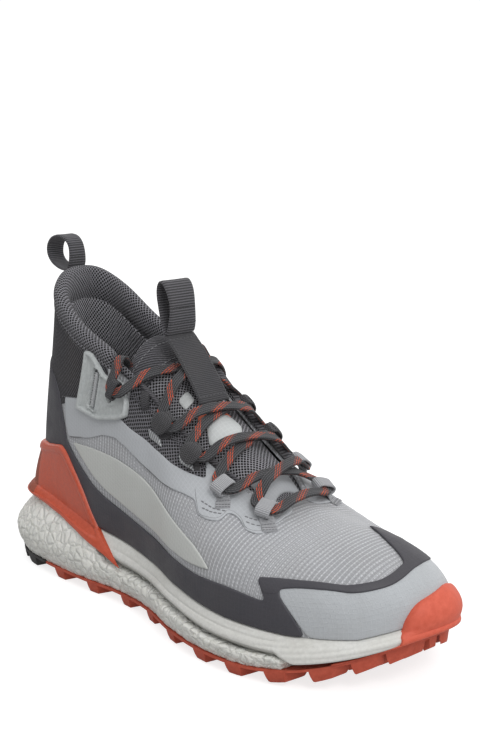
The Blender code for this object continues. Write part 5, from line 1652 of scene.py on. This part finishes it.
# hem across the top of the tongue: a folded band with two rows of stitches
up = unit(tongue(4.9, 0)[0] - tongue(5.2, 0)[0])
rows_h = []
for s in (-.55, -.45, -.2, .2, .6, .9):
    row = []
    for a in AA[1:-1]:
        if s <= 0:
            p, nn = tongue(4.9 - s * 1.0, a, 0)
            th = half(a)
        else:
            th = half(a) * (math.sqrt(max(0., 1 - s ** 2.2)) * .85 + .15)
            p, nn = tongue(4.9, a, 0)
            p = p + up * 10.0 * s * (1 - .75 * abs(a) ** 2.8)
        row.append((p, nn, th))
    rows_h.append(row)
Ah = np.array([[p + nn * (th + (.25 if 0 < k < 5 else .02)) for (p, nn, th) in r] for k, r in enumerate(rows_h)])
Bh = np.array([[p + nn * (th - .5) for (p, nn, th) in r] for r in rows_h])
V, F, _ = two_sided(Ah, Bh)
mid = Ah.shape[1] // 2
sa = np.concatenate([[0], np.cumsum(np.linalg.norm(np.diff(Ah[:, mid], axis=0), axis=1))])
sb = np.array([np.linalg.norm(Ah[0, j] - Ah[0, mid]) * np.sign(j - mid) for j in range(Ah.shape[1])])
uv = np.column_stack([np.tile(sb, len(sa)), np.repeat(sa, len(sb))])
make("tongue_hem", V, F, HEM, (), np.concatenate([uv, uv]), angle=60)
rows_s = []
for k in (1, 3):
    P = Ah[k, 2:-2] + np.array([[0, 0, 0]])
    N = np.array([x[1] for x in rows_h[k][2:-2]])
    P, N = resample(P, N, 2.7)
    rows_s.append((P + N * .05, N, np.gradient(P, axis=0)))
stitches_on("tongue_hem_stitches", rows_s, THREAD_MID, 1.9, .6, .4)


def tongue_patch(name, corners, d0, d1, mat, nodes, step=1.5, bulge=.0):
    """small sheet on the tongue inside a polygon of (station, across) points"""
    Q = []
    for a, b in zip(corners, corners[1:] + corners[:1]):
        a, b = np.array(a), np.array(b)
        L = np.hypot((b[0] - a[0]) * 20, (b[1] - a[1]) * 22)
        for k in range(max(1, int(L / step))):
            Q.append(a + (b - a) * k / max(1, int(L / step)))
    Q = np.array(Q)
    for _ in range(1):
        Q = (np.roll(Q, 1, 0) + 2 * Q + np.roll(Q, -1, 0)) / 4
    S = np.array([20., 22.])
    ctr = Q.mean(0)
    R1 = ctr + (Q - ctr) * .94
    pts = R1 * S
    lo_, hi_ = pts.min(0), pts.max(0)
    X, Y = np.meshgrid(np.arange(lo_[0], hi_[0], 2.), np.arange(lo_[1], hi_[1], 2.))
    C = np.column_stack([X.ravel(), Y.ravel()])
    if np.sum(Q[:, 0] * np.roll(Q[:, 1], -1) - np.roll(Q[:, 0], -1) * Q[:, 1]) < 0:
        Q, R1, pts = Q[::-1], R1[::-1], pts[::-1]
    C = C[inside(C, pts)]
    C = C[np.min(np.linalg.norm(C[:, None] - pts[None], axis=2), 1) > 1.]
    al = np.concatenate([pts, C])
    res = delaunay_2d_cdt([Vector(p) for p in al], [], [list(range(len(pts)))], 1, 1e-5)
    back = {i: o[0] for i, o in enumerate(res[3]) if o}
    ta = np.concatenate([Q, R1, C / S])
    hh = np.concatenate([np.full(len(Q), d0 + (d1 - d0) * .5), np.full(len(R1) + len(C), d1)])
    top = np.array([tongue(t, a, half(a) + h_)[0] for (t, a), h_ in zip(ta, hh)])
    bot = np.array([tongue(t, a, half(a) + d0)[0] for (t, a) in ta])
    m, n = len(ta), len(Q)
    F = [(i, (i + 1) % n, n + (i + 1) % n, n + i) for i in range(n)] + [tuple(n + back[x] for x in f) for f in res[2]]
    k = len(F)
    F += [tuple(m + x for x in f[::-1]) for f in F[:k]] + [(i, m + i, m + (i + 1) % n, (i + 1) % n) for i in range(n)]
    uv = np.tile(ta * np.array([22., 22.]), (2, 1))
    return make(name, np.concatenate([top, bot]), F, mat, nodes, uv, angle=50)


tongue_patch("tongue_shield_patch", [(7.15, -.30), (7.35, .22), (7.72, .34), (8.02, .14), (8.15, -.26), (7.75, -.62)], .1, 1.1, FILM_WHITE, ["tongue_shield"])
tongue_patch("tongue_shield_wedge", [(7.02, -.42), (7.08, .20), (7.40, .30), (7.28, -.05), (7.42, -.62)], .1, .75, ORANGE_T, ())
tongue_patch("tongue_mark_a", [(6.35, -.56), (6.33, -.26), (6.66, -.24), (6.68, -.54)], .1, .7, FILM_WHITE, ())
tongue_patch("tongue_mark_b", [(6.33, .26), (6.35, .56), (6.68, .54), (6.66, .24)], .1, .7, FILM_GREY, ())
tongue_patch("throat_film_piece", [(9.15, -.55), (9.35, -.1), (9.35, .3), (9.2, .62), (10.5, .66), (10.5, -.66)], .1, 1.0, FILM_GREY, ["throat_film"])

# ---------------------------------------------------------------- webbing strap and pull loops
SP = np.array([(121.5, 0, 149.9), (125.4, 0, 146.6), (128.8, 0, 143.6), (133.6, 0, 138.7), (139.6, 0, 131.7), (145.4, 0, 124.7), (150.6, 0, 117.7), (151.3, 0, 116.6)])


def strip(name, P, W, N, w, th, mat, nodes, body="boot", closed=False, k=3, edge=.8, uvshift=0., wave_=0.):
    """woven strip with rolled edges and a slightly dished face"""
    n = len(P)
    w = np.broadcast_to(np.asarray(w, float), (n,))
    cs = np.array([-.5, -.47, -.40, -.25, 0, .25, .40, .47, .5])
    hs = np.array([0, .38, .5, .46, .44, .46, .5, .38, 0])
    sec = np.concatenate([np.column_stack([cs, -hs]), np.column_stack([cs[::-1][1:-1], hs[::-1][1:-1]])])
    S = sec[None] * np.stack([w, np.full(n, th)], 1)[:, None]
    V, F = tube(P, W, N, S, closed)
    s = np.concatenate([[0], np.cumsum(np.linalg.norm(np.diff(P, axis=0), axis=1))])
    m = len(sec)
    uv = np.column_stack([np.repeat(s, m) + uvshift, np.tile(sec[:, 0], n) * np.repeat(w, m)])
    return make(name, V, F, mat, nodes, uv, body, 60)


def path3(P, step=1.5, closed=False):
    """even Catmull-Rom resampling of 3-D points"""
    P = np.asarray(P, float)
    n = len(P)
    E = np.concatenate([P[-1:], P, P[:2]]) if closed else np.concatenate([2 * P[:1] - P[1:2], P, 2 * P[-1:] - P[-2:-1]])
    out = []
    for i in range(1, len(E) - 2):
        p0, p1, p2, p3 = E[i - 1:i + 3]
        for f in np.linspace(0, 1, 16, endpoint=False):
            out.append(.5 * (2 * p1 + (p2 - p0) * f + (2 * p0 - 5 * p1 + 4 * p2 - p3) * f * f + (3 * p1 - p0 - 3 * p2 + p3) * f ** 3))
    if not closed:
        out.append(E[-2])
    out = np.array(out)
    if closed:
        out = np.concatenate([out, out[:1]])
    L = np.concatenate([[0], np.cumsum(np.linalg.norm(np.diff(out, axis=0), axis=1))])
    k = int(round(L[-1] / step))
    q = np.linspace(0, L[-1], k + 1)
    R = np.stack([np.interp(q, L, out[:, c]) for c in range(3)], 1)
    return R[:-1] if closed else R


P = path3(SP, 1.2)
d = unit(np.gradient(P, axis=0))
Wd = np.tile([0, 1., 0], (len(P), 1))
Nn = unit(np.cross(d, Wd))
if Nn[0, 0] < 0:
    Nn = -Nn
strip("tongue_strap_webbing", P, Wd, Nn, 21.5, 1.5, WEB_STRAP, ["tongue_strap"])
rows_s = []
for off_k in (3, len(P) - 4):
    yy = np.arange(-9.3, 9.4, 2.5)
    Pc = np.array([P[off_k] + Nn[off_k] * .74 + np.array([0, y, 0]) for y in yy])
    rows_s.append((Pc, np.tile(Nn[off_k], (len(yy), 1)), np.tile([0, 1., 0], (len(yy), 1))))
for y in (-9.4, 9.4):
    k = np.arange(3, len(P) - 3, 2)
    rows_s.append((P[k] + Nn[k] * .70 + np.array([0, y, 0]), Nn[k], d[k]))
stitches_on("strap_stitches", rows_s, THREAD_DARK, 1.8, .6, .4)

HEEL_P, TONGUE_P = np.array((23.6, 0., 177.2)), np.array((122., 0., 151.))


def pull(name, pivot, height, lean, gap, width, node, body, inner_mat, bow=0.):
    upv = np.array([math.sin(lean), 0, math.cos(lean)])
    fw = np.array([math.cos(lean), 0, -math.sin(lean)])
    P = []
    nq = 12
    for k in range(nq):
        a = 2 * math.pi * k / nq
        e = 1.12
        cx = math.copysign(abs(math.cos(a)) ** e, math.cos(a))
        cy = math.copysign(abs(math.sin(a)) ** e, math.sin(a))
        r_ = (1 + cy) / 2
        P.append(pivot + fw * (gap / 2 * cx * (.62 + .42 * r_) + bow * r_) + upv * (height * r_))
    P = path3(P, 1.0, True)
    dd = unit(np.roll(P, -1, 0) - np.roll(P, 1, 0))
    W = np.tile([0, 1., 0], (len(P), 1))
    N = unit(np.cross(dd, W))
    rel = (P - pivot) @ upv / height
    w = width * (1 - .10 * np.sin(np.pi * np.clip(rel, 0, 1)) ** 2)
    strip(name, P, W, N, w, 1.7, WEB_DARK, [node], body, True)
    return P, W, N, dd, rel, upv, fw


HP = pull("heel_loop_webbing", HEEL_P, 23.0, math.radians(-32), 26.0, 12.5, "heel_pull_loop", "heel_loop", None, -4.5)
TP_ = pull("tongue_loop_webbing", TONGUE_P, 29.0, math.radians(-9), 12.0, 20.5, "tongue_pull_loop", "tongue_loop", None)
# stitched bars where the webbing loops are folded
for nm, (P, W, N, dd, rel, upv, fw), width, body, node in (("heel_loop_stitches", HP, 12.5, "heel_loop", "heel_pull_loop"), ("tongue_loop_stitches", TP_, 20.5, "tongue_loop", "tongue_pull_loop")):
    rows_s = []
    outsign = 1. if (N[np.argmax(P @ fw)] @ fw) > 0 else -1.
    for target in (.10, .20):
        for side_ in (1, -1):
            cand = [k for k in range(len(P)) if ((P[k] - P.mean(0)) @ fw) * side_ > 1.0]
            k = min(cand, key=lambda q: abs(rel[q] - target))
            yy = np.arange(-width / 2 + 2, width / 2 - 1.5, 2.4)
            nn = N[k] * outsign
            rows_s.append((np.array([P[k] + nn * .82 + np.array([0, y, 0]) for y in yy]), np.tile(nn, (len(yy), 1)), np.tile([0, 1., 0], (len(yy), 1))))
    stitches_on(nm, rows_s, THREAD_DARK, 1.7, .55, .35, body=body)
# pale reflective stripe on the outer face of the heel loop's left end
P, W, N, dd, rel, upv, fw = HP
so = 1. if (N[np.argmax(P @ fw)] @ fw) > 0 else -1.
ks = [k for k in range(len(P)) if (P[k] - P.mean(0)) @ fw < -1.5]
brk = [i for i in range(1, len(ks)) if ks[i] != ks[i - 1] + 1]
if brk:
    ks = ks[brk[0]:] + ks[:brk[0]]
Pr = P[ks] + N[ks] * so * 1.0
dr = unit(np.gradient(Pr, axis=0))
Wr = np.tile([0, 1., 0], (len(Pr), 1))
strip("heel_loop_reflective", Pr, Wr, unit(np.cross(dr, Wr)), 9.0, .5, REFLECT_W, (), "heel_loop")

# ---------------------------------------------------------------- eyelets
centres = {}


def eyelet_look(name, t, v, base, inner, mat, node, fat=1., wide=LOOP_W, tab=True):
    p, n, d, w = eyelet_frame(t, v, base, inner)
    c = p + n * (base + LOOP_T / 2 + LOOP_IN_H / 2 + LOOP_T / 2)
    a, b = (LOOP_IN_W + LOOP_T) / 2, (LOOP_IN_H + LOOP_T) / 2
    if node is None:
        return c, n, d, w
    ring = []
    for k_ in range(16):
        g_ = 2 * math.pi * (k_ + .5) / 16
        ring.append((a * math.copysign(abs(math.cos(g_)) ** .6, math.cos(g_)), b * math.copysign(abs(math.sin(g_)) ** .75, math.sin(g_))))
    P = path3([c + w * x + n * y for x, y in ring], .7, True)
    q = unit(np.roll(P, -1, 0) - np.roll(P, 1, 0))
    W = np.tile(d, (len(P), 1))
    N = unit(np.cross(q, W))
    strip(name, P, W, N, wide, LOOP_T * fat, mat, [node], "boot", True)
    return c, n, d, w


for k, (t, v) in enumerate(LEVELS):
    for inner in (False, True):
        sfx = "inner" if inner else "outer"
        base = 4.0 if k == 4 else LOOP_BASE
        nm = ("webbing_eyelet_%s_%d" % (sfx, k + 1)) if k < 2 else ("cord_eyelet_%s_%d" % (sfx, k - 1) if k < 4 else "plate_keeper_" + sfx)
        mat = WEB_GREY if k < 2 else CORD
        centres[(k, inner)] = eyelet_look(nm + "_loop", t, v, base, inner, mat, nm, 1.15, LOOP_W * (1.45 if k < 2 else 1.3 if k < 4 else .8))
        c, n, d, w = centres[(k, inner)]
        if k < 4:
            # tail of the folded loop, sewn down on the eyestay
            q = [c - w * ((LOOP_IN_W + LOOP_T) / 2 - 1.2) - n * (LOOP_IN_H / 2 + .4)]
            tq = 26 - t if inner else t
            L = 9.5 if k < 2 else 6.5
            pts = []
            for s in np.linspace(0, 1, 7):
                vv = v - .012 - s * (L / max(20., np.linalg.norm(skirt([tq], [1.])[0] - skirt([tq], [0.])[0])))
                pts.append(off([tq], [vv], 2.6 - 1.9 * sstep(s * 1.6), skirt)[0])
            Pp = path3(pts, .8)
            dd = unit(np.gradient(Pp, axis=0))
            nn = unit(np.cross(np.tile(d, (len(Pp), 1)), dd))
            if nn[0] @ n < 0:
                nn = -nn
            wd = unit(np.cross(dd, nn))
            strip(nm + "_tail", Pp, wd, nn, LOOP_W * (1.42 if k < 2 else 1.15), 1.1, mat, ())
            if k < 2:
                rows_s = []
                for s in (.62, .80, .95):
                    i_ = int(s * (len(Pp) - 1))
                    yy = np.arange(-3.0, 3.1, 1.5)
                    rows_s.append((np.array([Pp[i_] + nn[i_] * .5 + wd[i_] * y for y in yy]), np.tile(nn[i_], (len(yy), 1)), np.tile(wd[i_], (len(yy), 1))))
                stitches_on(nm + "_bar", rows_s, THREAD_MID, 1.3, .5, .35)

# soft rounded tabs over the two cord loops
for k in (2, 3):
    for inner in (False, True):
        c, n, d, w = centres[(k, inner)]
        rr = [1., .96, .88, .74, .55, .32, .12]
        th_ = np.linspace(0, 2 * math.pi, 36, endpoint=False)
        top, bot, uvs = [], [], []
        for r in rr:
            a_ = 6.0 * r * np.sign(np.cos(th_)) * np.abs(np.cos(th_)) ** .85
            b_ = 5.6 * r * np.sign(np.sin(th_)) * np.abs(np.sin(th_)) ** .85 - 1.6
            drop = 3.0 * np.clip(-(b_ + .5) / 6.0, 0, 1) ** 1.4 + .5 * np.clip((b_ - 1.5) / 3., 0, 1) ** 2
            ht = 3.15 - drop + 1.5 * math.sqrt(max(0., 1 - r ** 2.4))
            hb = 2.75 - drop
            top.append(c + d * a_[:, None] + w * b_[:, None] + n * ht[:, None])
            bot.append(c + d * a_[:, None] + w * b_[:, None] + n * (hb if r < 1 else ht - .12)[:, None])
            uvs.append(np.column_stack([b_, a_]))
        m_ = len(th_)
        V = np.concatenate(top + bot)
        o_ = m_ * len(rr)
        F = []
        for i in range(len(rr) - 1):
            for j in range(m_):
                j2 = (j + 1) % m_
                F.append((i * m_ + j, i * m_ + j2, (i + 1) * m_ + j2, (i + 1) * m_ + j))
                F.append((o_ + i * m_ + j2, o_ + i * m_ + j, o_ + (i + 1) * m_ + j, o_ + (i + 1) * m_ + j2))
        F.append(tuple((len(rr) - 1) * m_ + j for j in range(m_)))
        F.append(tuple(o_ + (len(rr) - 1) * m_ + j for j in range(m_))[::-1])
        F += [(j, o_ + j, o_ + (j + 1) % m_, (j + 1) % m_) for j in range(m_)]
        if np.dot(np.cross(d, w), n) < 0:
            F = [f[::-1] for f in F]
        nm = "cord_eyelet_%s_%d" % ("inner" if inner else "outer", k - 1)
        make(nm + "_tab", V, F, CORD, (), np.concatenate(uvs + uvs), angle=70)

# spare cord rib between the plate and the first cord loop
for sfx, tq in (("outer", 5.8), ("inner", 20.2)):
    pts = [off([tq], [v_], d_, skirt)[0] for v_, d_ in ((.985, .4), (.965, 2.0), (.93, 2.9), (.89, 2.2), (.87, .4))]
    Pp = path3(pts, .7)
    dd = unit(np.gradient(Pp, axis=0))
    s_ = np.linspace(-1, 1, len(Pp))
    n_ = unit(np.array([off([tq], [.93], 3., skirt)[0] - off([tq], [.93], 0., skirt)[0]] * len(Pp)))
    wd = unit(np.cross(dd, n_))
    nn = unit(np.cross(wd, dd))
    strip("spare_cord_loop_" + sfx, Pp, wd, nn, 4.6, 2.0, CORD, ())

# ---------------------------------------------------------------- lace
path, norm = [], []


def addp(p, n):
    path.append(np.asarray(p, float))
    norm.append(unit(n))


def through(k, inner, toe_first):
    c, n, d, w = centres[(k, inner)]
    s = 1 if toe_first else -1
    for q, m in ((6.4, 3.6), (3.5, .3), (0, -.8), (-3.5, .3), (-6.4, 3.6)):
        if k == 4 and q * s < -5:
            continue
        addp(c + d * q * s + w * m, n)


CROWN = np.array([tongue(t, 0, 0, True)[0] for t in np.linspace(4.9, 11., 20)])


def across(k0, in0, k1, in1, over, s0, s1, bar=False):
    c0, n0, d0, w0 = centres[(k0, in0)]
    c1, n1, d1, w1 = centres[(k1, in1)]
    a = c0 + d0 * 7.0 * s0 + w0 * 4.6
    b = c1 + d1 * 7.0 * s1 + w1 * 4.6
    m = (a + b) / 2
    if bar:
        rise = 2.6
    else:
        tilt = unit(n0 + n1)
        rise = float(np.interp(m[0], CROWN[:, 0], CROWN[:, 2])) + LACE_LOW / tilt[2] - m[2]
    for f in (.16, .28, .4, .5, .6, .72, .84):
        p = a * (1 - f) + b * f
        p[2] += rise * (1 - (2 * f - 1) ** 2) ** .85
        n = unit(n0 * (1 - f) + n1 * f)
        if over:
            p = p + n * LACE_GAP * min(1., max(0., (.48 - abs(f - .5)) / .16))
        addp(p, n)


def tail(inner):
    tq = 26 - 4.8 if inner else 4.8
    out = []
    for v, o in ((.95, 5.0),):
        p = off([tq], [v], o, skirt)[0]
        out.append((p, unit(off([tq], [v], o + 1, skirt)[0] - p)))
    top = skirt([tq], [1.])[0]
    n = unit(off([tq], [1.], 1., skirt)[0] - top)
    up = np.array([0, 0, 1.])
    out.append((top + n * 1.6 + up * 3.0, unit(n * .9 + up * .8)))
    out.append((top - n * 3.4 + up * 3.0, unit(-n * .5 + up)))
    out.append((top - n * 8.0 - up * 1.5, unit(-n + up * .3)))
    for v, o in ((.92, -12.5), (.84, -13.0), (.76, -13.)):
        p = off([tq], [v], o, skirt)[0]
        out.append((p, -unit(off([tq], [v], o + 1, skirt)[0] - p)))
    return out


first = [(4, False), (3, True), (2, False), (1, True), (0, False)]
second = [(0, True), (1, False), (2, True), (3, False), (4, True)]
for p, n in tail(False)[::-1]:
    addp(p, n)
for q, (k, inn) in enumerate(first):
    through(k, inn, False)
    if q < 4:
        across(k, inn, first[q + 1][0], first[q + 1][1], q >= 2, 1, -1)
across(0, False, 0, True, False, 1, 1, bar=True)
for q, (k, inn) in enumerate(second):
    through(k, inn, True)
    if q < 4:
        across(k, inn, second[q + 1][0], second[q + 1][1], q >= 2, -1, 1)
for p, n in tail(True):
    addp(p, n)


def smooth(P, N, step):
    P = np.concatenate([[2 * P[0] - P[1]], P, [2 * P[-1] - P[-2]]])
    N = np.concatenate([[N[0]], N, [N[-1]]])
    out, on = [], []
    for i in range(1, len(P) - 2):
        for f in np.linspace(0, 1, 12, endpoint=False):
            p0, p1, p2, p3 = P[i - 1:i + 3]
            out.append(.5 * (2 * p1 + (p2 - p0) * f + (2 * p0 - 5 * p1 + 4 * p2 - p3) * f * f + (3 * p1 - p0 - 3 * p2 + p3) * f ** 3))
            on.append(unit(N[i] * (1 - f) + N[i + 1] * f))
    out.append(P[-2])
    on.append(N[-2])
    out, on = np.array(out), np.array(on)
    L = np.concatenate([[0], np.cumsum(np.linalg.norm(np.diff(out, axis=0), axis=1))])
    k = int(round(L[-1] / step))
    q = np.linspace(0, L[-1], k + 1)
    return np.stack([np.interp(q, L, out[:, c]) for c in range(3)], 1), unit(np.stack([np.interp(q, L, on[:, c]) for c in range(3)], 1)), L[-1]


P, N, LACE_LENGTH = smooth(np.array(path), np.array(norm), .8)
for _ in range(6):
    N = unit(np.concatenate([N[:1], (N[:-2] + 2 * N[1:-1] + N[2:]) / 4, N[-1:]]))
d = unit(np.gradient(P, axis=0))
N = unit(N - d * np.sum(N * d, 1)[:, None])
W = unit(np.cross(d, N))
s = np.linspace(0, LACE_LENGTH, len(P))
th = np.array([(-.5, 0), (-.47, .30), (-.38, .5), (-.26, .44), (-.13, .54), (0, .45), (.13, .54), (.26, .44), (.38, .5), (.47, .30), (.5, 0),
               (.47, -.30), (.38, -.5), (.26, -.44), (.13, -.54), (0, -.45), (-.13, -.54), (-.26, -.44), (-.38, -.5), (-.47, -.30)])
wv = 6.1 * (1 + .03 * np.sin(s * .35) + .02 * np.sin(s * .81 + 1.))
hv = 1.75 * (1 + .05 * np.sin(s * .47 + .5))
S = th[None] * np.stack([wv, hv], 1)[:, None]
V, F = tube(P, W, N, S)
uv = np.column_stack([np.repeat(s, len(th)), (S[..., 0]).ravel() + np.tile(np.where(th[:, 1] < 0, 11.5, 0), len(P))])
make("lace_braid", V, F, LACE_M, ["lace"], uv, angle=70)
for sfx, i, sg in (("outer", 0, -1), ("inner", -1, 1)):
    e, dd = P[i], d[i] * sg
    q = np.linspace(.3, 16., 26)
    prof = 1 + .06 * (np.abs(((q / 2.2) % 1) - .5) < .18)
    prof[0] *= .9
    prof[-1] *= .72
    prof[-2] *= .92
    sec = rounded(3.5, 2.3, 4)
    V, F = tube(np.array([e + dd * x for x in q]), np.tile(W[i], (26, 1)), np.tile(N[i], (26, 1)), sec[None] * prof[:, None, None])
    make("aglet_" + sfx, V, F, AGLET, ["lace_aglet_" + sfx], None, angle=40)

# ---------------------------------------------------------------- footbed and the hidden parts
rows_t = np.linspace(1.4, 12.4, 70)
cols = np.linspace(-1, 1, 33)
inst = lambda x: np.interp(x, *FEATHER_INSET) + 7.6
Gp = sole_rows(list(rows_t), cols, inst, True, True)
zt = zf(Gp[..., 0]) + 1.5 + 1.4 + .9 + 4.6 * np.clip((Gp[..., 0] - 268) / 25, 0, 1)
dish = 1.3 * (np.abs(cols)[None] ** 3) * np.clip((240 - Gp[..., 0]) / 60, 0, 1) + .25 * np.abs(np.sin(Gp[..., 0] * .35)) * (np.abs(cols)[None] < .7) * (Gp[..., 0] > 150)
A = np.dstack([Gp, zt + 3.9 + dish])
B = np.dstack([Gp, zt + .05])
V, F, _ = two_sided(A, B)
uv = V[:, :2].copy()
make("footbed", V, F, FOOTBED, ["insole"], uv, "insole", angle=50)
for node, mat in (("strobel_board", BOARD), ("heel_counter", STIFF), ("toe_puff", STIFF)):
    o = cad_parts[node]
    o.data.materials.clear()
    o.data.materials.append(mat)

# ---------------------------------------------------------------- floor, light and camera
sc = bpy.context.scene
me = bpy.data.meshes.new("floor")
me.from_pydata([(-9, -9, 0), (9, -9, 0), (9, 9, 0), (-9, 9, 0)], [], [(0, 1, 2, 3)])
floor = bpy.data.objects.new("floor", me)
sc.collection.objects.link(floor)
fm = Mat("studio_floor", .9, .1)
fn = fm.noise(fm.obj, .004, 2., .5)
fm.b.inputs["Emission Color"].default_value = (1, 1, 1, 1)
lp = fm.t.nodes.new("ShaderNodeLightPath")
fm.t.links.new(fm.math("MULTIPLY_ADD", lp.outputs["Is Camera Ray"], .62, .14), fm.b.inputs["Emission Strength"])
me.materials.append(fm.done(fm.mix(fn, (.40, .40, .40, 1), (.43, .43, .43, 1))))
floor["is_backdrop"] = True

world = bpy.data.worlds.new("studio")
sc.world = world
world.use_nodes = True
bg = world.node_tree.nodes["Background"]
wt = world.node_tree


def wnode(kind, op=None):
    n = wt.nodes.new("ShaderNode" + kind)
    if op:
        n.operation = op
    return n


# a white studio cyclorama on one side, dimmer towards the other
tc_ = wnode("TexCoord")
dt_ = wnode("VectorMath", "DOT_PRODUCT")
dt_.inputs[1].default_value = (.35, .75, .55)
wt.links.new(tc_.outputs["Generated"], dt_.inputs[0])
rg_ = wnode("MapRange")
rg_.inputs[1].default_value, rg_.inputs[2].default_value = -.45, -.04
rg_.inputs[3].default_value, rg_.inputs[4].default_value = .15, 1.05
wt.links.new(dt_.outputs["Value"], rg_.inputs[0])
wt.links.new(rg_.outputs[0], bg.inputs[1])
bg.inputs[0].default_value = (1, 1, 1, 1)


def lamp(name, loc, target, size, power, size_y=None, colour=(1, 1, 1)):
    l = bpy.data.lights.new(name, "AREA")
    l.shape = "RECTANGLE"
    l.size, l.size_y = size, size_y or size
    l.energy = power
    l.color = colour
    o = bpy.data.objects.new(name, l)
    sc.collection.objects.link(o)
    o.location = loc
    o.rotation_mode = "QUATERNION"
    o.rotation_quaternion = (Vector(loc) - Vector(target)).to_track_quat("Z", "Y")
    return o


lamp("key", (1.15, -.40, 1.3), (.05, 0, .07), .55, 7.)
lamp("fill", (-.7, -1.1, .7), (-.03, 0, .08), .9, 1.0)

cam_d = bpy.data.cameras.new("camera")
cam = bpy.data.objects.new("camera", cam_d)
sc.collection.objects.link(cam)
az, el = math.radians(47.54), math.radians(12.15)
back = Vector((math.sin(az) * math.cos(el), -math.cos(az) * math.cos(el), math.sin(el)))
cam.location = Vector((.010378, .011088, .13546)) + back * .71
cam.rotation_mode = "QUATERNION"
cam.rotation_quaternion = back.to_track_quat("Z", "Y")
cam_d.sensor_width = 36
cam_d.lens = 1309 / 736 * 36
cam_d.clip_start, cam_d.clip_end = .01, 50
sc.camera = cam
sc.view_settings.view_transform = "Standard"
sc.view_settings.look = "None"

lo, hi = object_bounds()
